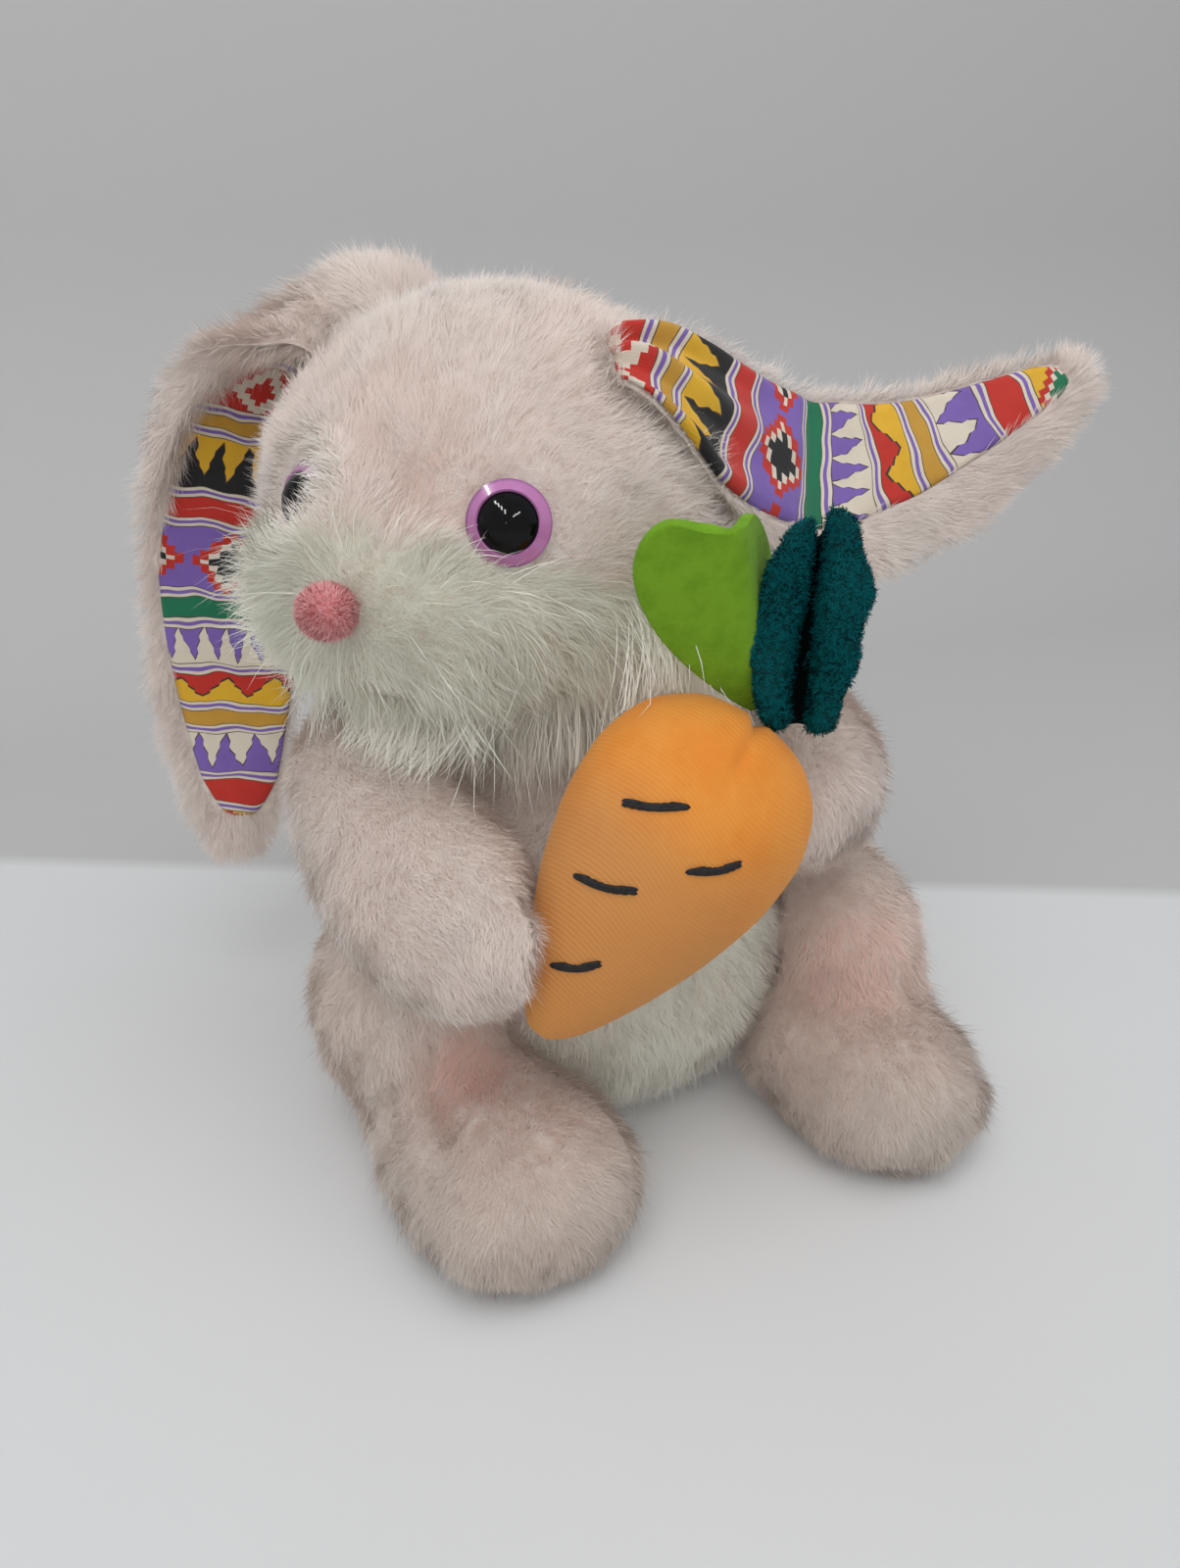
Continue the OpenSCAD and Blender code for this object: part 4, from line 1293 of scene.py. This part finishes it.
def eye_distance(p, sides=SIDES):
    """How far a place is from the axis of the nearest eye."""
    gaps = []
    for side in sides:
        middle, axis = eye_places[side]
        aside = (p - middle) - np.sum((p - middle) * axis, 1, keepdims=True) * axis
        gaps.append(np.linalg.norm(aside, axis=1) + (np.linalg.norm(p - middle, axis=1) > 25 * MM))
    return np.min(gaps, 0)


def from_right_eye(p):
    """The way from the right eye to a place."""
    return unit(in_head(p) - in_head(eye_places["right"][0]))


def on_muzzle(p):
    reach = np.sum(((in_head(p) - MUZZLE_AT) / MUZZLE_HALF) ** 2, 1)
    return 1 - smooth_step(reach, 1.12, 1.5)


def in_mouth(p, reach=2.2):
    """1 along the crease under the nose and at the corners of the mouth, 0 away from them."""
    q = in_head(p)
    aside = np.abs(q[:, 0])
    line = -27 * MM - 6 * MM * np.clip(aside / (18 * MM), 0, 2) ** 1.5
    ends = 1 - smooth_step(aside, 15 * MM, 24 * MM)
    middle = np.exp(-((q[:, 2] - line) / (reach * MM)) ** 2) * ends * (q[:, 1] < -35 * MM)
    q[:, 0] = aside
    return np.maximum(middle, beside_line(q, mm(31, -52, -37), mm(36.5, -61, -17), reach * MM))


def head_flow(p, n):
    """Away from the nose, and down on the lower half of the face."""
    q = in_head(p)
    away = unit(q - NOSE_AT)
    away[:, 2] -= 0.9 * smooth_step(-q[:, 2], 0, 26 * MM)
    return turn_z(away, HEAD_TURN)


def head_length(p, n):
    """Longer on the cream cloth, short around the eyes and in the mouth."""
    near = smooth_step(eye_distance(p), 10 * MM, 20 * MM)
    return (7.4 + 3.0 * cream_share(p)) * (0.55 + 0.45 * near) * (1 - 0.6 * in_mouth(p, 3.0))


def left_cheek_share(p, n):
    """1 on the cream cloth left of the muzzle and under it, where the pile is long."""
    q = in_head(p)
    low = smooth_step(-q[:, 2], -4 * MM, 16 * MM)
    return cream_share(p) * (1 - on_muzzle(p)) * low * (q[:, 1] < 14 * MM) * (q[:, 0] > 0)


def right_cheek_share(p, n):
    """Up to a half on the right side of the muzzle, where the pile stands out sideways."""
    q = in_head(p)
    tall = plateau(q[:, 2], -42 * MM, -32 * MM, -6 * MM, 6 * MM)
    return 0.5 * cream_share(p) * smooth_step(-q[:, 0], 18 * MM, 34 * MM) * tall * (q[:, 1] < 15 * MM)


def right_cheek_flow(p, n):
    return turn_z(np.tile([-0.9, -0.45, -0.2], (len(p), 1)), HEAD_TURN)


def chin_share(p, n):
    """1 on the underside of the face, from which long pile hangs over the chest."""
    q = in_head(p)
    under = smooth_step(-q[:, 2], 28 * MM, 40 * MM) * (q[:, 1] < 22 * MM) * (q[:, 1] > -62 * MM)
    return under * (1 - in_mouth(p, 4.0))


def hanging_flow(aside, ahead, bias):
    """Down the face, and a little outward by how far aside and ahead a place is."""
    def flow(p, n):
        q = in_head(p)
        return turn_z(np.stack([q[:, 0] * aside, q[:, 1] * ahead - bias, np.full(len(p), -1.0)], 1), HEAD_TURN)
    return flow


def brow_share(p, n):
    """1 in a ring around the right eye, denser below it and on the side of the nose."""
    ring = plateau(eye_distance(p, ("right",)), EYE_RIM, 11.5 * MM, 15 * MM, 21 * MM)
    way = from_right_eye(p)
    return ring * np.clip(np.maximum(0.75 + 0.6 * way[:, 0], 0.1 - 0.9 * way[:, 2]), 0, 1)


def brow_length(p, n):
    """Longer below the eye, so that the lower half of it is covered."""
    return 7.0 + 3.0 * smooth_step(-from_right_eye(p)[:, 2], -0.2, 0.6)


def brow_flow(p, n):
    return unit(eye_places["right"][0] - p) + np.array([0, 0, 0.1])


def brow_tips(p):
    return mixed(PINK_TIP, CREAM_TIP, cream_share(p))


# Painted shade: the roots and tips darken toward the mouth shade colour along the crease under the nose and at the
# corners of the mouth.
def muzzle_roots(p):
    return mixed(MUZZLE_ROOT, MOUTH_SHADE, in_mouth(p, 2.6))


def muzzle_tips(p):
    return mixed(MUZZLE_TIP, MOUTH_SHADE, 0.6 * in_mouth(p, 1.8))


def body_flow(p, n):
    return np.stack([p[:, 0] * 4, p[:, 1] * 4, np.full(len(p), -1.0)], 1)


def tail_flow(p, n):
    return p - mm(0, 50, 30)


def any_flow(p, n):
    return rng.normal(0, 1, p.shape)


def limb_flow(root, end, fall):
    way = unit(np.array(end, float) - np.array(root, float)) + np.array([0, 0, -fall])
    return lambda p, n: np.tile(way, (len(p), 1))


def ear_flow(side):
    """Along the ear and away from its spine."""
    samples = np.linspace(0.0, 0.99, 60)
    centre = ear_point(side, samples, 0.0, 0.0)
    run = turn_z(ear_frame(side, samples)[0], HEAD_TURN)

    def flow(p, n):
        nearest = np.argmin(np.linalg.norm(p[:, None, :] - centre[None], axis=2), 1)
        return run[nearest] + 0.5 * unit(p - centre[nearest])
    return flow


def ear_places(side):
    """Looks up how far along, across and toward its face a place on the ear's pile cloth is."""
    back, places = ear_backs[side]
    nearest = nearest_of(points_of(back.data))
    return lambda p: places[nearest(p)].T


def bare_share(side, look_up):
    """0 where the lining covers the ear's pile cloth, 1 where the pile shows."""
    def share(p, n):
        t, s, face = look_up(p)
        covered = (face > 0.02) & (s > -0.96) & (s < ear_hem(side, t)) & (t > EARS[side]["lining from"]) & (t < 0.955)
        return 1.0 - covered
    return share


def ear_length(side, look_up):
    """Longer over the top edge of the hanging ear's lining, short where the spread ear lies on the head."""
    def length(p, n):
        t, s, _ = look_up(p)
        if side == "right":
            return 8.0 + 1.5 * plateau(t, 0.22, 0.34, 0.46, 0.56) * (s > 0)
        return 8.5 * (1 - 0.65 * smooth_step(s, 0.6, 0.85) * (1 - smooth_step(t, 0.36, 0.46)))
    return length


# Last shaping of the bags, and their backing

def fill_out(bag, place, reach, way, rise):
    """Stuffs a bag a little more on one side of a place."""
    toward = np.clip(points_of(bag.data, "normal") @ unit(way), 0, 1)
    swell(bag, rise * around(points_of(bag.data), place, reach) * toward)


def press_line(bag, route, reach, depth):
    """Presses a crease into a bag along a route over its surface."""
    co, tree = points_of(bag.data), tree_of(bag)
    route = [np.array(tree.find_nearest(Vector(place))[0]) for place in route]
    swell(bag, -depth * np.max([beside_line(co, low, high, reach) for low, high in zip(route, route[1:])], 0))


def shape_face():
    """Presses the mouth in and swells the cloth around the right eye, which sits deep."""
    co = points_of(head_bag.data)
    gap = eye_distance(co, ("right",))
    beside_nose = np.clip(from_right_eye(co)[:, 0], 0, 1)
    brow = (3.8 + 2.8 * beside_nose) * MM * plateau(gap, 7 * MM, 11 * MM, 14 * MM, 26 * MM)
    temple = 4.0 * MM * around(in_head(co), mm(-50, -32, 20), 24 * MM) * smooth_step(gap, 7 * MM, 11 * MM)
    swell(head_bag, np.maximum(brow, temple) - 2.4 * MM * in_mouth(co))


shape_face()
fill_out(bags["right_arm"], mm(-84, -8, 110), 30 * MM, (-0.94, 0.1, 0.2), 5.0 * MM)
fill_out(bags["right_arm"], mm(-82, -62, 82), 32 * MM, (-0.75, -0.45, -0.5), 7.5 * MM)
fill_out(bags["right_leg"], mm(-92, 0, 42), 34 * MM, (-0.94, 0.1, 0.2), 5.0 * MM)
fill_out(bags["right_leg"], mm(-36, -76, 22), 24 * MM, (0.94, -0.34, 0), 6.0 * MM)
press_line(bags["right_leg"], (mm(-80, -45, 52), mm(-77.5, -50, 40), mm(-77, -66, 37)), 4 * MM, 3.2 * MM)
press_line(body_bag, (mm(-1.5, -55, 55), mm(1, -53, 40)), 3.5 * MM, 3.4 * MM)
paint(head_bag, mixed(PINK_ROOT, CREAM_ROOT, cream_share(points_of(head_bag.data))))
paint(body_bag, mixed(PINK_ROOT, CREAM_ROOT, tummy_share(points_of(body_bag.data))))
paint(nose_bag, NOSE_ROOT)
for bag in (tail_bag, *arms, *legs):
    paint(bag, PINK_ROOT)
for bag in (head_bag, body_bag, tail_bag, nose_bag, *arms, *legs):
    bag.data.materials.append(pile_backing)
    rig.slot(bag, "pink_pompom" if bag == nose_bag else "pink_pile")


# The piles

def guard(*pieces):
    return [(tree_of(p), points_of(p.data)) for p in pieces]


carrot_guard, leaf_guard = guard(carrot_bag), guard(lime_leaf, teal_leaf)
arm_guard, leg_guard = guard(*arms), guard(*legs)
head_guard, body_guard, nose_guard = guard(head_bag), guard(body_bag), guard(nose_bag)
ear_guard = guard(ear_backs["left"][0], ear_linings["left"])
chest_guard = carrot_guard + leaf_guard + arm_guard + body_guard
FACE_LIGHT = (-0.35, -0.75, 0.45)
LONG_HAIR = dict(
    width=0.15, locks=(4.0, 0.5), joints=3, mess=16, lumps=0.3, face_up=0.2, fringe=(-0.25, -0.6, 0.8),
    clear=chest_guard,
)

pile(
    "head_pile", head_bag, "head", "pink_pile", 150000, head_flow, head_length, pink_tips, plain(PINK_ROOT),
    keep=lambda p, n: (1 - cream_share(p)) * (eye_distance(p) > EYE_RIM),
    clear=leaf_guard + ear_guard + nose_guard, tufts=18, lumps=0.34, locks=(2.6, 0.42), fluff=0.34,
)
pile(
    "muzzle_pile", head_bag, "head", "cream_pile", 140000, head_flow, head_length, muzzle_tips, muzzle_roots,
    keep=lambda p, n: cream_share(p) * (eye_distance(p) > EYE_RIM), clear=chest_guard + nose_guard,
    lift=(54, 28), stray=0.12, locks=(3.4, 0.5), swirl=60, lumps=0.34, fluff=0.32, fringe=FACE_LIGHT,
)
# Painted light: the long hair of the left cheek takes the cream tip colour at its roots and a lighter cream at its
# tips, as it hangs in shade.
pile(
    "left_cheek_pile", head_bag, "head", "cream_pile", 70000, hanging_flow(8, 3, 0.1), even(25), plain(CHIN_PAINTED_LIGHT_TIP),
    plain(CREAM_TIP), keep=left_cheek_share, lift=(56, 16), droop=0.5, swirl=26, **LONG_HAIR,
)
pile(
    "right_cheek_pile", head_bag, "head", "cream_pile", 60000, right_cheek_flow, even(17), plain(CREAM_TIP),
    plain(CREAM_ROOT), keep=right_cheek_share, clear=arm_guard + nose_guard, lift=(58, 26), width=0.14,
    locks=(4.0, 0.45), joints=2, droop=0.15, mess=22, lumps=0.35, swirl=30, face_up=0.0, fringe=FACE_LIGHT,
)
# Painted light: the long hair of the chin takes the cream tip colour at its roots and a lighter cream at its tips, as
# it hangs in shade.
pile(
    "chin_pile", head_bag, "head", "cream_pile", 60000, hanging_flow(12, 4, 0.2), even(24), plain(CHIN_PAINTED_LIGHT_TIP),
    plain(CREAM_TIP), keep=chin_share, lift=(52, 18), droop=0.6, **LONG_HAIR,
)
pile(
    "brow_pile", head_bag, "head", "pink_pile", 110000, brow_flow, brow_length, brow_tips, plain(CREAM_ROOT),
    keep=brow_share, lift=(70, 38), width=0.15, locks=(2.5, 0.3), joints=2, swirl=20,
)
pile(
    "whisker_pile", head_bag, "head", "cream_pile", 9000, head_flow, even(15), plain(CREAM_TIP), plain(CREAM_ROOT),
    keep=lambda p, n: cream_share(p) * on_muzzle(p) * 0.35 * (eye_distance(p) > 11 * MM),
    clear=carrot_guard + leaf_guard + nose_guard, lift=(44, 16), width=0.16, locks=(5.0, 0.2), joints=2, droop=0.3,
    fringe=FACE_LIGHT,
)
pile(
    "body_pile", body_bag, "body", "pink_pile", 110000, body_flow, even(6.8), pink_tips, plain(PINK_ROOT),
    keep=lambda p, n: (1 - tummy_share(p)) * (p[:, 2] > SEAT_CLEAR),
    clear=carrot_guard + arm_guard + leg_guard + head_guard,
)
pile(
    "tummy_pile", body_bag, "body", "cream_pile", 110000, body_flow, even(8.4), plain(CREAM_TIP), plain(CREAM_ROOT),
    keep=lambda p, n: tummy_share(p) * (p[:, 2] > SEAT_CLEAR), clear=carrot_guard + arm_guard + leg_guard,
    lift=(52, 26), stray=0.1, swirl=60, lumps=0.25,
)
for side, root, paw in (("right", (-76, 26, 120), (-46, -80, 84)), ("left", (42, 32, 114), (27, -62, 98))):
    pile(
        side + "_arm_pile", bags[side + "_arm"], side + "_arm", "pink_pile", 64000, limb_flow(root, paw, 0.35),
        even(6.4), pink_tips, plain(PINK_ROOT), clear=carrot_guard + body_guard + head_guard + leaf_guard,
        tufts=5, lumps=0.14, locks=(2.2, 0.16), lift=(44, 18), mess=22,
    )
for side, hip, toe in (("right", (-60, 34, 60), (-60, -90, 10)), ("left", (50, 30, 60), (58, -88, 10))):
    pile(
        side + "_leg_pile", bags[side + "_leg"], side + "_leg", "pink_pile", 92000, limb_flow(hip, toe, 0.5),
        even(7.2), leg_tips, leg_roots, keep=lambda p, n: (p[:, 2] > SOLE_CLEAR) * 1.0,
        clear=carrot_guard + body_guard + arm_guard, tufts=11, lumps=0.28, locks=(2.6, 0.34), lift=(46, 20), fluff=0.3,
    )
for side in SIDES:
    look_up = ear_places(side)
    pile(
        side + "_ear_pile", ear_backs[side][0], side + "_ear", "pink_pile", 110000, ear_flow(side),
        ear_length(side, look_up), pink_tips, plain(PINK_ROOT), keep=bare_share(side, look_up), stray=0.1,
        clear=head_guard + arm_guard + guard(ear_linings[side]),
    )
pile(
    "tail_pile", tail_bag, "body", "pink_pile", 14000, tail_flow, even(8), pink_tips, plain(PINK_ROOT),
    clear=body_guard, lift=(60, 45),
)
pile(
    "nose_pile", nose_bag, "head", "pink_pompom", 7000, any_flow, even(2.2), plain(NOSE_TIP), plain(NOSE_ROOT),
    lift=(70, 55), width=0.16, locks=(1.2, 0.3), swirl=90,
)
pile(
    "teal_leaf_pile", teal_leaf, "teal_leaf", "teal_fleece", 30000, any_flow, even(2.2), plain(TEAL_TIP),
    plain(TEAL_FOOT), keep=lambda p, n: 1 - in_teal_fold(p), fibre=fleece_fibre, lift=(55, 0), width=0.2,
    locks=(1.4, 0.5), swirl=90, joints=2,
)
pile(
    "lime_leaf_pile", lime_leaf, "lime_leaf", "lime_felt", 16000, any_flow, even(1.1), plain(LIME_TIP),
    plain(LIME_FOOT), fibre=fleece_fibre, lift=(30, 5), width=0.1, locks=(1.0, 0.1), swirl=90,
)


# Stage, light and camera

def make_stage():
    """A pale floor that sweeps up into a wall. The wall's darker tone is painted shade, which starts along a line on
    the floor that runs aslant behind the toy.
    """
    floor_end, sweep, front, half_width, wall_top = 0.32, 0.25, -1.6, 2.0, 2.2
    profile = [(front, 0.0), (floor_end, 0.0)]
    for a in np.linspace(0.1, math.pi / 2, 12):
        profile.append((floor_end + sweep * math.sin(a), sweep - sweep * math.cos(a)))
    profile.append((floor_end + sweep, wall_top))
    verts = [(x, y, z) for y, z in profile for x in (-half_width, half_width)]
    faces = [(2 * i, 2 * i + 1, 2 * i + 3, 2 * i + 2) for i in range(len(profile) - 1)]
    material, tree, shader = new_material("pale_stage", 0.9, Specular_IOR_Level=0.1)
    floor, _ = brushed(tree, (0.76, 0.765, 0.765), (0.72, 0.725, 0.725), 3.0, 0.5, 300.0)
    x, y = first_two(tree, add_node(tree, "TexCoord", "Object"))
    # Painted shade: the floor turns to the darker wall tone behind a slanted line.
    share = (x * 0.43 + y).ramp(0.109, 90.0)
    dress(tree, shader, blend_colour(tree, share, floor, (0.565, 0.56, 0.555)))
    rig.stage(new_piece("stage_sweep", verts, faces, material))


def area_lamp(name, size, power):
    lamp = bpy.data.lights.new(name, "AREA")
    lamp.shape = "RECTANGLE"
    lamp.size, lamp.size_y = size
    lamp.energy = power
    return add_object(name, lamp)


def add_light(name, place, target, size, power):
    """A broad soft lamp, which no surface mirrors. The fill casts no shadow, so it reaches into the folds."""
    light = area_lamp(name, size, power)
    light.location = place
    light.rotation_euler = (Vector(target) - Vector(place)).to_track_quat("-Z", "Y").to_euler()
    light.visible_glossy = False
    light.data.use_shadow = name != "fill"


def add_tube(name, start, end, target, power):
    """A slim lamp between two places, which only shows as a streak on the gloss of the eyes."""
    start, end, target = Vector(start), Vector(end), Vector(target)
    light = area_lamp(name, ((end - start).length, 0.05), power)
    light.location = (start + end) / 2
    back = (light.location - target).normalized()
    along = (end - start).normalized()
    along = (along - back * along.dot(back)).normalized()
    light.rotation_euler = Matrix((along, back.cross(along), back)).transposed().to_euler()
    light.visible_diffuse = False


def make_light():
    world = bpy.data.worlds.new("studio")
    world.use_nodes = True
    colour, strength = world.node_tree.nodes["Background"].inputs[:2]
    colour.default_value, strength.default_value = (0.95, 0.97, 1.0, 1), 0.55
    bpy.context.scene.world = world
    add_light("key", (-0.75, -0.95, 1.25), (0, -0.02, 0.12), (0.9, 0.9), 2.4)
    add_light("top", (0, -0.35, 1.5), (0, 0, 0.1), (1.4, 0.9), 4.7)
    add_light("fill", (-0.25, -0.62, 1.20), (0, -0.03, 0.12), (0.8, 0.8), 2.9)
    add_tube("left_tube", (-0.551, 0.367, 0.953), (-0.411, -0.698, 0.855), eye_places["left"][0], 7.0)
    add_tube("right_tube", (-0.213, -0.896, 0.689), (0.340, -0.681, 0.858), eye_places["left"][0], 4.0)


def make_camera():
    data = bpy.data.cameras.new("camera")
    data.sensor_fit = "VERTICAL"
    data.sensor_height = 24
    data.lens = 0.75 * data.sensor_height
    data.clip_start = 0.01
    camera = add_object("camera", data)
    turned, down = math.radians(-20), math.radians(25)
    look = Vector((-math.sin(turned) * math.cos(down), math.cos(turned) * math.cos(down), -math.sin(down)))
    camera.location = mm(-122.4, -301.3, 244.0)
    camera.rotation_euler = look.to_track_quat("-Z", "Y").to_euler()
    bpy.context.scene.camera = camera


make_stage()
make_light()
make_camera()
bpy.context.scene.view_settings.view_transform = "Standard"

with open("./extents.json", "w") as note:
    json.dump({
        "cad": [[float(x) for x in corner] for corner in cad_box],
        "visual": [[float(x) for x in corner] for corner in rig.bounds()],
    }, note)
